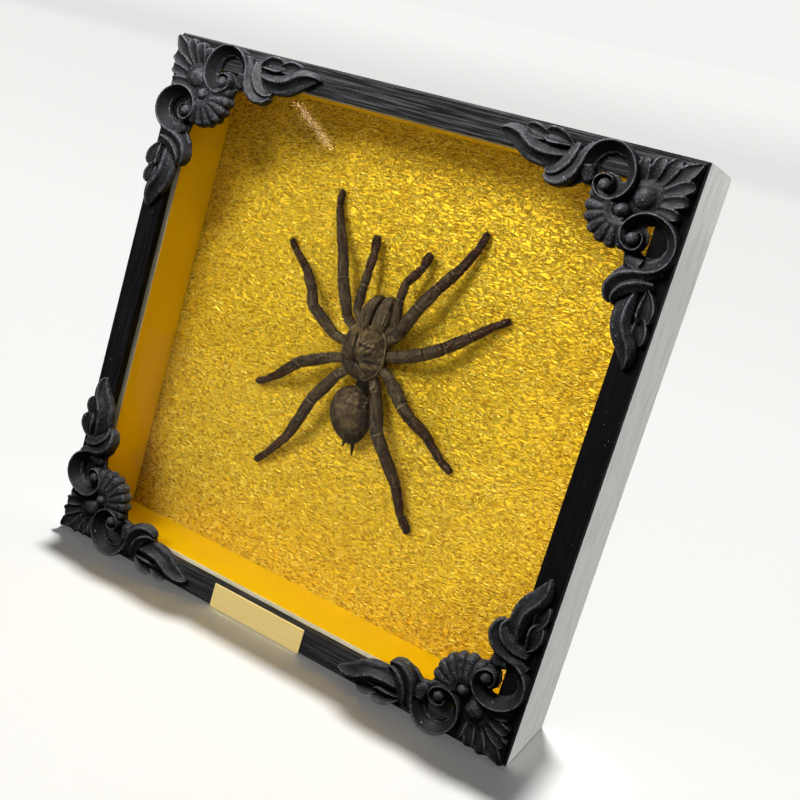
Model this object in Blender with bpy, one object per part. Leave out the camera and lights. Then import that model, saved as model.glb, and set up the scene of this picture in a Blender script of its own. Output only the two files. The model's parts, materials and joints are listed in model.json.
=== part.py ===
"""A dried tarantula in a square shadow-box frame with cast corner ornaments.

The frame stands on its bottom rail and faces -Y. Four mitred rails hold a glass pane, a gold
liner, a gold backing panel with the tarantula on it, and a back board kept in by metal tabs.
Each front corner carries the same casting, which is symmetric about the corner's diagonal.

Every piece is modelled in face coordinates, in millimetres: x to the right and y up from the
middle of the frame, z out of the front face towards the viewer. place() stands the piece up.
The origin is the middle of the frame's bottom face.
"""

import math

import bmesh
import bpy
from mathutils import Matrix, Vector

MM = 0.001

# Frame
FRAME_SIDE = 250.0
FRAME_DEPTH = 47.5
RAIL_WIDTH = 12.2
RAIL_WALL = 7.2
LIP_DEPTH = 4.3
EDGE_CHAMFER = 0.9
MITRE_GAP = 0.2
GAP = 0.3

# What the frame holds, from the front
GLASS_THICKNESS = 2.0
LINER_REVEAL = 0.6
PANEL_FACE = 35.6
PANEL_THICKNESS = 2.0
BOARD_THICKNESS = 3.0
TAB_WIDTH = 8.0
TAB_LENGTH = 11.0
TAB_THICKNESS = 0.6
TAB_SPACING = 120.0

# Name plate on the bottom rail
PLATE_WIDTH = 50.6
PLATE_HEIGHT = 11.6
PLATE_THICKNESS = 0.6
PLATE_CENTRE_X = -3.0
PLATE_FOOT = 0.15

# Corner casting, in corner coordinates: u along one rail and v along the other, from the
# frame's outer corner, and z above the frame's face
CASTING_BASE = 3.0
RIB_CENTRE = 2.6
RIB_FLOOR = 0.9
ROUND_SIDES = 6
RIDGE_SIDES = 4
# How high each kind of rib rises above RIB_CENTRE, as a multiple of its half width
SCROLL_RISE = 2.2
HOOK_RISE = 2.0
LEAF_RISE = 1.6
LOBE_RISE = 1.2
FAN_RISE = 1.4
SHELL_RISE = 2.4
DIAGONAL_FLIP = Matrix(((0, 1, 0, 0), (1, 0, 0, 0), (0, 0, 1, 0), (0, 0, 0, 1)))

# Half of the casting's outline, from the outer corner along one arm and back to the diagonal
HALF_OUTLINE = [
    (0.8, 0.8), (8.8, 1.5), (15.5, 3.2), (23.8, 5.0), (28.0, 1.8), (34.2, 0.4), (40.6, 1.6),
    (45.5, 4.6), (51.0, 5.4), (53.6, 2.4), (57.4, 0.9), (62.2, 2.4), (66.7, 1.0), (71.2, 2.6),
    (78.0, 3.6), (81.3, 6.3), (74.8, 10.6), (70.6, 13.4), (66.0, 15.9), (59.9, 16.8),
    (57.2, 20.7), (51.0, 23.1), (46.4, 21.7), (43.4, 18.4), (38.8, 18.8), (38.6, 27.0),
    (37.2, 32.0), (35.2, 35.2),
]
# The open crescent inside the scroll, beside its ball
SCROLL_HOLE = [
    (40.2, 14.2), (39.9, 9.6), (37.4, 6.0), (33.6, 4.7), (29.6, 6.0), (27.0, 9.6), (26.7, 14.2),
    (28.6, 15.0), (30.4, 13.0), (33.4, 12.2), (36.6, 13.2), (38.2, 15.4),
]

# Ribs of one arm, as (u, v, half width) along each rib's crest
SCROLL_RIB = [
    (42.2, 17.0, 1.9), (43.2, 11.6, 2.0), (40.6, 5.4, 2.1), (34.6, 2.5, 2.0), (28.2, 4.6, 2.0),
    (24.7, 10.2, 2.0), (25.6, 16.6, 1.9), (30.4, 20.6, 1.7), (35.4, 19.9, 1.4),
    (36.9, 16.4, 1.1), (34.2, 13.9, 0.9), (30.8, 15.0, 0.7),
]
HOOK_RIBS = [
    [(46.6, 4.8, 1.2), (46.2, 12.2, 1.8), (48.6, 18.2, 2.4), (53.2, 20.2, 2.0), (58.2, 18.8, 0.8)],
    [(50.6, 7.4, 1.4), (51.0, 12.8, 2.0), (54.0, 16.9, 1.2)],
]
LEAF_RIBS = [
    [(52.4, 9.6, 1.4), (60.0, 11.4, 2.4), (69.6, 9.0, 2.5), (80.6, 6.0, 0.9)],
]
LOBE_RIBS = [
    [(52.2, 7.0, 0.9), (57.2, 4.6, 3.0), (62.4, 6.2, 0.9)],
    [(61.4, 7.0, 0.9), (66.2, 4.0, 2.6), (70.4, 3.4, 0.8)],
]
FAN_RIBS = [
    [(20.6, 13.2, 0.8), (21.3, 8.6, 1.8), (21.6, 4.6, 0.5)],
    [(18.2, 12.8, 0.8), (17.0, 7.4, 2.0), (15.4, 3.2, 0.5)],
    [(15.8, 13.4, 0.8), (12.6, 6.6, 2.2), (9.2, 2.0, 0.5)],
]
# The fan's middle leaflet, along the diagonal
CORNER_LEAF = [(14.2, 14.2, 0.8), (8.0, 8.0, 2.6), (2.4, 2.4, 0.7)]
SHELL_LOBES = 6
SHELL_SPREAD = math.radians(132.0)
SHELL_REACH = (3.6, 9.0, 13.8)
SHELL_HALF_WIDTH = (0.9, 1.9, 1.0)

# Round bosses on the diagonal and in the scroll: (u, v, radius, height of the top)
BOSS = (18.1, 18.1, 4.8, 6.6)
BEAD = (24.8, 24.8, 3.3, 8.6)
SCROLL_BALL = (33.4, 17.2, 2.6, 7.6)

# Tarantula, as (x, y, height above the backing panel)
CARAPACE_CENTRE = (-0.2, 9.0, 8.8)
CARAPACE_RADII = (11.0, 14.2, 4.8)
STERNUM_CENTRE = (0.0, 9.0, 5.4)
STERNUM_RADII = (9.0, 11.5, 4.4)
ABDOMEN_CENTRE = (0.8, -20.6, 8.6)
ABDOMEN_RADII = (9.8, 13.6, 7.6)
ABDOMEN_TURN = math.radians(7.0)
CHELICERA_CENTRES = ((-4.1, 28.0, 8.6), (3.7, 28.0, 8.6))
CHELICERA_RADII = (4.1, 8.6, 4.9)
PEDICEL = [(0.0, 0.0, 6.0, 2.4), (0.3, -11.0, 7.4, 2.6)]
SPINNERETS = [
    [(0.8, -31.0, 5.6, 1.1), (-0.4, -37.6, 4.6, 0.4)],
    [(4.0, -30.5, 5.6, 1.2), (5.6, -39.0, 4.6, 0.5)],
]

# Joints from coxa to claw: coxa, trochanter, knee, patella end, tibia end, metatarsus end, claw
LEG_JOINTS = [
    [(-8.5, 16.0, 6.6), (-14.7, 21.6, 8.5), (-20.2, 38.4, 12.5), (-24.4, 49.1, 11.0),
     (-31.7, 59.5, 6.5), (-37.1, 68.5, 3.6), (-38.6, 76.6, 2.2)],
    [(-8.5, 10.0, 6.6), (-18.6, 11.7, 8.5), (-31.8, 21.6, 12.2), (-34.8, 28.2, 11.2),
     (-42.6, 36.2, 7.6), (-53.0, 42.3, 3.8), (-58.6, 47.0, 2.2)],
    [(-8.0, 4.0, 6.6), (-17.0, 1.1, 8.5), (-30.3, -5.4, 12.5), (-35.4, -10.2, 11.8),
     (-43.0, -16.4, 7.2), (-50.6, -21.9, 3.8), (-56.6, -24.9, 2.2)],
    [(-6.5, 0.0, 6.6), (-11.8, -5.7, 8.2), (-19.2, -20.2, 12.5), (-23.0, -30.6, 11.0),
     (-28.8, -42.4, 7.5), (-39.3, -55.9, 3.8), (-45.5, -62.3, 2.2)],
    [(6.5, 16.5, 6.6), (11.5, 20.2, 8.5), (20.1, 36.8, 12.5), (25.6, 47.3, 11.0),
     (31.9, 58.4, 7.0), (36.0, 69.3, 3.8), (37.3, 77.1, 2.2)],
    [(7.5, 10.5, 6.6), (15.6, 12.0, 8.5), (29.7, 18.6, 12.5), (36.8, 23.6, 11.2),
     (45.5, 31.6, 6.6), (53.6, 39.5, 3.7), (59.6, 43.6, 2.2)],
    [(7.0, 5.0, 6.6), (14.9, 1.4, 8.5), (25.6, -6.9, 12.5), (31.2, -11.4, 11.4),
     (39.3, -16.7, 7.5), (47.5, -25.8, 3.8), (53.8, -29.6, 2.2)],
    [(5.5, -1.0, 6.6), (9.7, -6.3, 8.5), (17.9, -23.3, 12.5), (23.0, -29.9, 11.5),
     (31.6, -43.6, 6.8), (36.9, -56.8, 3.7), (42.7, -63.8, 2.2)],
]
LEG_HALF_WIDTH = (2.1, 2.2, 2.7, 2.25, 2.5, 2.1, 2.35, 1.85, 2.05, 1.6, 1.8, 1.1)
PALP_JOINTS = [
    [(-6.0, 20.0, 7.4), (-10.8, 26.6, 9.0), (-9.4, 38.0, 11.4), (-9.9, 45.0, 10.0),
     (-11.2, 53.4, 6.6), (-13.7, 61.0, 3.6)],
    [(5.4, 20.0, 7.4), (9.9, 23.9, 9.0), (9.8, 37.0, 11.4), (9.8, 45.0, 10.4),
     (14.2, 53.6, 7.0), (14.7, 61.0, 3.6)],
]
PALP_HALF_WIDTH = (1.8, 1.9, 2.2, 1.8, 2.1, 1.7, 2.1, 1.7, 2.2, 1.3)

# Colour (linear), roughness and metallic value of each finish
FINISHES = {
    "black_painted_wood": ((0.018, 0.018, 0.019), 0.45, 0.0),
    "clear_glass": ((0.92, 0.94, 0.93), 0.03, 0.0),
    "gold_card": ((0.62, 0.38, 0.01), 0.40, 0.6),
    "gold_leather_paper": ((0.66, 0.46, 0.07), 0.42, 0.6),
    "brown_hardboard": ((0.20, 0.11, 0.05), 0.80, 0.0),
    "zinced_steel": ((0.55, 0.55, 0.55), 0.35, 1.0),
    "black_cast_resin": ((0.022, 0.022, 0.024), 0.55, 0.0),
    "dried_tarantula": ((0.050, 0.035, 0.025), 0.75, 0.0),
    "brass_plate": ((0.72, 0.58, 0.28), 0.35, 0.8),
}


def make_material(name):
    """Principled material for one of the named finishes."""
    colour, roughness, metallic = FINISHES[name]
    material = bpy.data.materials.new(name)
    material.use_nodes = True
    shader = material.node_tree.nodes["Principled BSDF"]
    shader.inputs["Base Color"].default_value = (*colour, 1.0)
    shader.inputs["Roughness"].default_value = roughness
    shader.inputs["Metallic"].default_value = metallic
    return material


def place(piece, quarter_turns=0):
    """Stand a piece made in face coordinates upright, turned about the frame's middle."""
    piece.rotation_euler = (math.pi / 2, quarter_turns * math.pi / 2, 0.0)
    piece.location = (0.0, -FRAME_DEPTH / 2 * MM, FRAME_SIDE / 2 * MM)


def add_piece(name, mesh, finish, quarter_turns=0):
    """Put a mesh into the model as a named sub-part with its material."""
    piece = bpy.data.objects.new(name, mesh)
    if not mesh.materials:
        mesh.materials.append(bpy.data.materials.get(finish) or make_material(finish))
    bpy.data.collections["framed_tarantula"].objects.link(piece)
    place(piece, quarter_turns)
    return piece


def to_mesh(form, name):
    """Mesh data in metres from a bmesh in millimetres."""
    bmesh.ops.scale(form, vec=(MM, MM, MM), verts=form.verts)
    mesh = bpy.data.meshes.new(name)
    form.to_mesh(mesh)
    form.free()
    return mesh


def box_mesh(name, low, high):
    """Rectangular block between two corners in face coordinates."""
    size = [b - a for a, b in zip(low, high)]
    middle = [(a + b) / 2 for a, b in zip(low, high)]
    form = bmesh.new()
    shape = Matrix.Translation(middle) @ Matrix.Diagonal((*size, 1.0))
    bmesh.ops.create_cube(form, size=1.0, matrix=shape)
    return to_mesh(form, name)


def rail_mesh():
    """Mitred rail with a chamfered front edge and a rebate behind its lip, along the bottom."""
    profile = [
        (0.0, EDGE_CHAMFER), (EDGE_CHAMFER, 0.0), (RAIL_WIDTH, 0.0), (RAIL_WIDTH, LIP_DEPTH),
        (RAIL_WALL, LIP_DEPTH), (RAIL_WALL, FRAME_DEPTH), (0.0, FRAME_DEPTH),
    ]
    half = FRAME_SIDE / 2
    form = bmesh.new()
    corners = [form.verts.new((v + MITRE_GAP - half, v - half, -depth)) for v, depth in profile]
    end = form.faces.new(corners)
    stretched = bmesh.ops.extrude_face_region(form, geom=[end])["geom"]
    for corner in stretched:
        if isinstance(corner, bmesh.types.BMVert):
            corner.co.x = -corner.co.x
    bmesh.ops.recalc_face_normals(form, faces=form.faces)
    return to_mesh(form, "frame_rail")


def add_frame():
    """Four mitred rails round the opening."""
    mesh = rail_mesh()
    for turns, side in enumerate(("bottom", "left", "top", "right")):
        add_piece(f"frame_{side}", mesh, "black_painted_wood", turns)


def add_fillings():
    """Glass, liner strips, backing panel, back board and the tabs that keep them in."""
    pocket = FRAME_SIDE / 2 - RAIL_WALL - GAP
    glass_back = LIP_DEPTH + GAP + GLASS_THICKNESS
    board_face = PANEL_FACE + PANEL_THICKNESS + GAP
    layers = [
        ("glass_pane", "clear_glass", LIP_DEPTH + GAP, GLASS_THICKNESS),
        ("backing_panel", "gold_leather_paper", PANEL_FACE, PANEL_THICKNESS),
        ("back_board", "brown_hardboard", board_face, BOARD_THICKNESS),
    ]
    for name, finish, face, thickness in layers:
        mesh = box_mesh(name, (-pocket, -pocket, -face - thickness), (pocket, pocket, -face))
        add_piece(name, mesh, finish)

    inner = FRAME_SIDE / 2 - RAIL_WIDTH - LINER_REVEAL
    liner_front = -glass_back - GAP
    liner_back = -PANEL_FACE + GAP
    strips = {
        "liner_bottom": ((-pocket, -pocket), (pocket, -inner)),
        "liner_top": ((-pocket, inner), (pocket, pocket)),
        "liner_left": ((-pocket, GAP - inner), (-inner, inner - GAP)),
        "liner_right": ((inner, GAP - inner), (pocket, inner - GAP)),
    }
    for name, (low, high) in strips.items():
        add_piece(name, box_mesh(name, (*low, liner_back), (*high, liner_front)), "gold_card")

    tab_face = board_face + BOARD_THICKNESS + GAP
    for turns, side in enumerate(("bottom", "left", "top", "right")):
        for index, middle in enumerate((-TAB_SPACING / 2, TAB_SPACING / 2)):
            low = (middle - TAB_WIDTH / 2, -pocket, -tab_face - TAB_THICKNESS)
            high = (middle + TAB_WIDTH / 2, -pocket + TAB_LENGTH, -tab_face)
            name = f"back_tab_{side}_{index + 1}"
            add_piece(name, box_mesh(name, low, high), "zinced_steel", turns)


def add_name_plate():
    """Bare brass plate on the bottom rail's face."""
    foot = PLATE_FOOT - FRAME_SIDE / 2
    low = (PLATE_CENTRE_X - PLATE_WIDTH / 2, foot, GAP)
    high = (PLATE_CENTRE_X + PLATE_WIDTH / 2, foot + PLATE_HEIGHT, GAP + PLATE_THICKNESS)
    add_piece("name_plate", box_mesh("name_plate", low, high), "brass_plate")


def curve_form(splines, sides, thickness=None):
    """Bmesh of closed tubes along (x, y, z, half width) points, or of a flat slab between loops."""
    curve = bpy.data.curves.new("guide", "CURVE")
    if thickness is None:
        curve.dimensions = "3D"
        curve.bevel_depth = 1.0
        curve.bevel_resolution = (sides - 4) // 2
        curve.use_fill_caps = True
        curve.twist_mode = "Z_UP"
    else:
        curve.dimensions = "2D"
        curve.fill_mode = "BOTH"
        curve.extrude = thickness / 2
    for points in splines:
        spline = curve.splines.new("POLY")
        spline.points.add(len(points) - 1)
        spline.use_cyclic_u = thickness is not None
        for target, (x, y, z, half_width) in zip(spline.points, points):
            target.co = (x, y, z, 1.0)
            target.radius = half_width
    guide = bpy.data.objects.new("guide", curve)
    bpy.context.scene.collection.objects.link(guide)
    bpy.context.view_layer.update()
    evaluated = guide.evaluated_get(bpy.context.evaluated_depsgraph_get())
    mesh = bpy.data.meshes.new_from_object(evaluated)
    form = bmesh.new()
    form.from_mesh(mesh)
    bmesh.ops.remove_doubles(form, verts=form.verts, dist=0.0001)
    bmesh.ops.recalc_face_normals(form, faces=form.faces)
    bpy.data.objects.remove(guide)
    bpy.data.meshes.remove(mesh)
    return form


def ball_form(centre, radii, segments, rings, turn=0.0):
    """Bmesh of an ellipsoid turned about z."""
    form = bmesh.new()
    shape = Matrix.Translation(centre) @ Matrix.Rotation(turn, 4, "Z") @ Matrix.Diagonal((*radii, 1.0))
    bmesh.ops.create_uvsphere(form, u_segments=segments, v_segments=rings, radius=1.0, matrix=shape)
    return form


def merge_into(target, form):
    """Copy one bmesh into another and free it."""
    mesh = bpy.data.meshes.new("part")
    form.to_mesh(mesh)
    form.free()
    target.from_mesh(mesh)
    bpy.data.meshes.remove(mesh)


def add_mirrored(form):
    """Add a form's mirror image across the corner's diagonal to it."""
    copy = bmesh.ops.duplicate(form, geom=form.verts[:] + form.edges[:] + form.faces[:])["geom"]
    verts = [item for item in copy if isinstance(item, bmesh.types.BMVert)]
    faces = [item for item in copy if isinstance(item, bmesh.types.BMFace)]
    bmesh.ops.transform(form, matrix=DIAGONAL_FLIP, verts=verts)
    bmesh.ops.reverse_faces(form, faces=faces)


def flat_ribs(splines, sides, rise):
    """Ribs lying in the casting's plane, their height set by their width times the rise."""
    points = [[(u, v, 0.0, half_width) for u, v, half_width in rib] for rib in splines]
    form = curve_form(points, sides)
    bmesh.ops.scale(form, vec=(1.0, 1.0, rise), verts=form.verts)
    bmesh.ops.translate(form, vec=(0.0, 0.0, RIB_CENTRE), verts=form.verts)
    return form


def shell_ribs():
    """Lobes of the shell, fanned out from the bead about the diagonal."""
    ribs = []
    for index in range(SHELL_LOBES):
        angle = math.pi / 4 + SHELL_SPREAD * (index / (SHELL_LOBES - 1) - 0.5)
        ribs.append([
            (BEAD[0] + reach * math.cos(angle), BEAD[1] + reach * math.sin(angle), half_width)
            for reach, half_width in zip(SHELL_REACH, SHELL_HALF_WIDTH)
        ])
    return ribs


def boss_form(boss, segments):
    """Rounded boss whose top stands at the given height above the frame's face."""
    u, v, radius, top = boss
    return ball_form((u, v, RIB_CENTRE), (radius, radius, top - RIB_CENTRE), segments, 4)


def fuse(name, base, forms):
    """One solid from a base form and the overlapping closed forms that grow from it."""
    body = bpy.data.objects.new(name, to_mesh(base, name))
    grown = bpy.data.objects.new(f"{name}_forms", to_mesh(forms, f"{name}_forms"))
    for piece in (body, grown):
        bpy.context.scene.collection.objects.link(piece)
    union = body.modifiers.new("union", "BOOLEAN")
    union.operation = "UNION"
    union.solver = "EXACT"
    union.use_self = True
    union.object = grown
    bpy.context.view_layer.update()
    evaluated = body.evaluated_get(bpy.context.evaluated_depsgraph_get())
    mesh = bpy.data.meshes.new_from_object(evaluated)
    mesh.name = name
    for piece in (body, grown):
        bpy.data.objects.remove(piece)
    return mesh


def casting_mesh():
    """Corner casting: scrolls, hooked leaves, acanthus tips, palmette fan, bead and shell."""
    mirrored = [(v, u) for u, v in reversed(HALF_OUTLINE)]
    outline = HALF_OUTLINE + mirrored[1:-1]
    holes = [SCROLL_HOLE, [(v, u) for u, v in SCROLL_HOLE]]
    splines = [[(u, v, 0.0, 1.0) for u, v in loop] for loop in [outline] + holes]
    base = curve_form(splines, RIDGE_SIDES, CASTING_BASE - GAP)
    bmesh.ops.translate(base, vec=(0.0, 0.0, (CASTING_BASE + GAP) / 2), verts=base.verts)

    forms = flat_ribs([SCROLL_RIB], ROUND_SIDES, SCROLL_RISE)
    merge_into(forms, flat_ribs(HOOK_RIBS, RIDGE_SIDES, HOOK_RISE))
    merge_into(forms, flat_ribs(LEAF_RIBS, RIDGE_SIDES, LEAF_RISE))
    merge_into(forms, flat_ribs(LOBE_RIBS, RIDGE_SIDES, LOBE_RISE))
    merge_into(forms, flat_ribs(FAN_RIBS, RIDGE_SIDES, FAN_RISE))
    merge_into(forms, boss_form(SCROLL_BALL, 6))
    add_mirrored(forms)
    merge_into(forms, flat_ribs([CORNER_LEAF], RIDGE_SIDES, FAN_RISE))
    merge_into(forms, flat_ribs(shell_ribs(), RIDGE_SIDES, SHELL_RISE))
    for boss in (BOSS, BEAD):
        merge_into(forms, boss_form(boss, 8))
    for corner in forms.verts:
        corner.co.z = max(corner.co.z, RIB_FLOOR)
    mesh = fuse("corner_casting", base, forms)
    mesh.transform(Matrix.Translation((-FRAME_SIDE / 2 * MM, -FRAME_SIDE / 2 * MM, 0.0)))
    return mesh


def add_ornaments():
    """The same casting on each front corner."""
    mesh = casting_mesh()
    for turns, corner in enumerate(("bottom_left", "top_left", "top_right", "bottom_right")):
        add_piece(f"corner_ornament_{corner}", mesh, "black_cast_resin", turns)


def limb(joints, half_widths):
    """Points of one leg with its half widths: the joints, and a point halfway along each segment."""
    places = [Vector(joints[0]), Vector(joints[1])]
    for start, end in zip(joints[1:], joints[2:]):
        places.append((Vector(start) + Vector(end)) / 2)
        places.append(Vector(end))
    return [(*place_, width) for place_, width in zip(places, half_widths)]


def add_tarantula():
    """Spread specimen: carapace, abdomen, chelicerae, spinnerets, palps and eight legs."""
    body = ball_form(CARAPACE_CENTRE, CARAPACE_RADII, 14, 8)
    limbs = [limb(joints, LEG_HALF_WIDTH) for joints in LEG_JOINTS]
    limbs += [limb(joints, PALP_HALF_WIDTH) for joints in PALP_JOINTS]
    forms = curve_form(limbs + [PEDICEL] + SPINNERETS, ROUND_SIDES)
    merge_into(forms, ball_form(STERNUM_CENTRE, STERNUM_RADII, 8, 6))
    merge_into(forms, ball_form(ABDOMEN_CENTRE, ABDOMEN_RADII, 12, 8, ABDOMEN_TURN))
    for centre in CHELICERA_CENTRES:
        merge_into(forms, ball_form(centre, CHELICERA_RADII, 8, 6))
    mesh = fuse("tarantula", body, forms)
    mesh.transform(Matrix.Translation((0.0, 0.0, -PANEL_FACE * MM)))
    add_piece("tarantula", mesh, "dried_tarantula")


def main():
    """Build the whole model."""
    for old in list(bpy.data.objects):
        bpy.data.objects.remove(old)
    collection = bpy.data.collections.new("framed_tarantula")
    bpy.context.scene.collection.children.link(collection)
    add_frame()
    add_fillings()
    add_name_plate()
    add_ornaments()
    add_tarantula()


main()
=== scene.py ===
"""The looks of a dried tarantula in a black shadow-box frame with cast corner ornaments.

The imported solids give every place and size. Pieces are modelled in face coordinates, in
millimetres: x to the right and y up from the middle of the frame, z out of the front face
towards the viewer. to_frame() turns them into the frame's metres.
"""
import json
import logging
import math
from dataclasses import dataclass
from enum import Enum

import bmesh
import bpy
import numpy as np
from mathutils import Matrix, Vector, noise

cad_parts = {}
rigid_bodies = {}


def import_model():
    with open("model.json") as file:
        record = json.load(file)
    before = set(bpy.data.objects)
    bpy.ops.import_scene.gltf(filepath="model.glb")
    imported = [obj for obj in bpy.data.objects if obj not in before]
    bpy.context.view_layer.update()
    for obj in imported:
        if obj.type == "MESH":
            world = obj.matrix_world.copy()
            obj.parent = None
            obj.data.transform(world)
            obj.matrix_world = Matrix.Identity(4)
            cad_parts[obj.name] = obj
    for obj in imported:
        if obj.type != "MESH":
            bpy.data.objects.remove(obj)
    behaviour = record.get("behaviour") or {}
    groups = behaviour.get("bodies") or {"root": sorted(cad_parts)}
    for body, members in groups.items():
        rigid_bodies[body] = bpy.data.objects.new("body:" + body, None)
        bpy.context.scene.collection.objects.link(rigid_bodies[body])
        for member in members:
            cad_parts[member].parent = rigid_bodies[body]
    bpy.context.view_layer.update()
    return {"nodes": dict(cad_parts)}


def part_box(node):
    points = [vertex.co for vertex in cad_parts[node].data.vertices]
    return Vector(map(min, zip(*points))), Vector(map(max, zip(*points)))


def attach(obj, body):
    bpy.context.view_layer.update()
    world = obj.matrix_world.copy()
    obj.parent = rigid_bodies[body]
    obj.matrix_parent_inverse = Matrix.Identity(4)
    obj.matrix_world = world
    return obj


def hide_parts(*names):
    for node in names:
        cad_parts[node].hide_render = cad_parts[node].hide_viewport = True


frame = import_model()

MM = 0.001
LOG = logging.getLogger("framed_tarantula")

Point = tuple[float, ...]
Points = tuple[Point, ...] | list[Point]
Colour = tuple[float, float, float, float]
Form = bmesh.types.BMesh
Vert = bmesh.types.BMVert
Edge = bmesh.types.BMEdge
Face = bmesh.types.BMFace
Mesh = bpy.types.Mesh
Thing = bpy.types.Object
Material = bpy.types.Material
Socket = bpy.types.NodeSocket

# The frame's own sizes, in millimetres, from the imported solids
BOTTOM_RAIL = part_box("frame_bottom")
SIDE = (BOTTOM_RAIL[1].x - BOTTOM_RAIL[0].x) / MM
FACE_Y = BOTTOM_RAIL[0].y
PANEL_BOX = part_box("backing_panel")
PANEL_DEPTH = (PANEL_BOX[0].y - FACE_Y) / MM


# --------------------------------------------------------------------------- small helpers

def srgb(code: str) -> Colour:
    """Linear colour, with an alpha of 1, of an sRGB hex code such as "D8B840"."""
    parts = [int(code[i:i + 2], 16) / 255 for i in (0, 2, 4)]
    return (*(c / 12.92 if c <= 0.04045 else ((c + 0.055) / 1.055) ** 2.4 for c in parts), 1.0)


def add_node(tree: bpy.types.NodeTree, kind: str, settings: dict | None = None,
             links: dict | None = None) -> bpy.types.Node:
    """Add a node with its settings and links.

    Args:
        tree: Node tree to add to.
        kind: Node type, such as "ShaderNodeTexNoise".
        settings: Values by property name, or by the name or index of an input. "stops" holds
            a colour ramp's (position, colour) pairs.
        links: Output sockets by the name or index of the input they feed.

    Returns:
        The node.
    """
    node = tree.nodes.new(kind)
    for key, value in (settings or {}).items():
        if key == "stops":
            elements = node.color_ramp.elements
            while len(elements) < len(value):
                elements.new(1.0)
            for element, (position, colour) in zip(elements, value):
                element.position = position
                element.color = colour
        elif isinstance(key, str) and hasattr(node, key):
            setattr(node, key, value)
        else:
            node.inputs[key].default_value = value
    for key, socket in (links or {}).items():
        tree.links.new(socket, node.inputs[key])
    return node


def to_frame(quarter_turns: int = 0) -> Matrix:
    """Matrix from face coordinates in millimetres to the frame's metres.

    Args:
        quarter_turns: Turns about the middle of the frame; 1 takes the bottom rail to the left.

    Returns:
        The matrix.
    """
    centre = Matrix.Translation((0.0, FACE_Y, SIDE / 2 * MM))
    turned = Matrix.Rotation(quarter_turns * math.pi / 2, 4, "Y") @ Matrix.Rotation(math.pi / 2, 4, "X")
    return centre @ turned @ Matrix.Scale(MM, 4)


def put(name: str, data: bpy.types.ID) -> Thing:
    """New object in the scene.

    Args:
        name: Its name.
        data: Its mesh, lamp or camera data.

    Returns:
        The object.
    """
    thing = bpy.data.objects.new(name, data)
    bpy.context.scene.collection.objects.link(thing)
    return thing


def mesh_of(form: Form, name: str) -> Mesh:
    """Mesh data from a bmesh.

    Args:
        form: The bmesh, which is freed.
        name: Name of the mesh.

    Returns:
        The mesh.
    """
    mesh = bpy.data.meshes.new(name)
    form.to_mesh(mesh)
    form.free()
    return mesh


def merge(target: Form, form: Form) -> None:
    """Copy one bmesh into another.

    Args:
        target: The bmesh that grows.
        form: The one that is copied and freed.
    """
    mesh = mesh_of(form, "part")
    target.from_mesh(mesh)
    bpy.data.meshes.remove(mesh)


def evaluated(mesh: Mesh, modifiers: list[tuple[str, dict]]) -> Mesh:
    """Mesh data after modifiers.

    Args:
        mesh: Mesh to start from. It is removed.
        modifiers: Modifier types with their settings, in order.

    Returns:
        New mesh data.
    """
    guide = put("guide", mesh)
    for kind, settings in modifiers:
        modifier = guide.modifiers.new(kind.lower(), kind)
        for key, value in settings.items():
            setattr(modifier, key, value)
    bpy.context.view_layer.update()
    result = bpy.data.meshes.new_from_object(guide.evaluated_get(bpy.context.evaluated_depsgraph_get()))
    bpy.data.objects.remove(guide)
    bpy.data.meshes.remove(mesh)
    return result


def set_attribute(mesh: Mesh, name: str, values: np.ndarray) -> None:
    """Store a named attribute on the vertices of a mesh.

    Args:
        mesh: The mesh.
        name: Name of the attribute.
        values: One number or one vector a vertex.
    """
    kind, member = ("FLOAT", "value") if values.ndim == 1 else ("FLOAT_VECTOR", "vector")
    layer = mesh.attributes.new(name, kind, "POINT")
    layer.data.foreach_set(member, values.astype(np.float32).ravel())


def vertex_rows(mesh: Mesh) -> tuple[np.ndarray, np.ndarray]:
    """Place and normal of each vertex of a mesh.

    Args:
        mesh: The mesh.

    Returns:
        The places and the normals, one row each.
    """
    places, normals = (np.empty(len(mesh.vertices) * 3) for _ in range(2))
    mesh.vertices.foreach_get("co", places)
    mesh.vertex_normals.foreach_get("vector", normals)
    return places.reshape(-1, 3), normals.reshape(-1, 3)


def index_rows(items: bpy.types.bpy_prop_collection, width: int) -> np.ndarray:
    """Vertices of each edge or triangle of a mesh.

    Args:
        items: The edges or triangles.
        width: How many vertices each one has.

    Returns:
        The vertices' indices, one row for each.
    """
    rows = np.empty(len(items) * width, int)
    items.foreach_get("vertices", rows)
    return rows.reshape(-1, width)


def unit(rows: np.ndarray) -> np.ndarray:
    """Vectors, one a row, brought to a length of 1."""
    return rows / np.linalg.norm(rows, axis=1)[:, None]


def bell(values: np.ndarray, middle: float, width: float) -> np.ndarray:
    """Bell curve of values: 1 at the middle, fading out over a width to both sides."""
    return np.exp(-((values - middle) / width) ** 2)


def add_piece(name: str, mesh: Mesh, finishes: list[Material],
              nodes: tuple[str, ...] = (), smooth: bool = True) -> Thing:
    """Put a finished mesh into the scene as a piece of the object.

    Args:
        name: Name of the piece.
        mesh: Its mesh, already in the frame's metres.
        finishes: Its materials.
        nodes: Solids that the piece stands for.
        smooth: Whether its faces are shaded smooth.

    Returns:
        The object.
    """
    for finish in finishes:
        mesh.materials.append(finish)
    if smooth:
        mesh.shade_smooth()
    piece = put(name, mesh)
    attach(piece, "root")
    if nodes:
        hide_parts(*nodes)
    LOG.info("%s: %d faces", name, len(mesh.polygons))
    return piece


def dress(node: str, finish: Material) -> None:
    """Give a solid that stays as it is its finish.

    Args:
        node: The solid's name.
        finish: Its material.
    """
    mesh = frame["nodes"][node].data
    mesh.materials.clear()
    mesh.materials.append(finish)
    LOG.info("%s: dressed", node)


# --------------------------------------------------------------------------- forms

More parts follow.
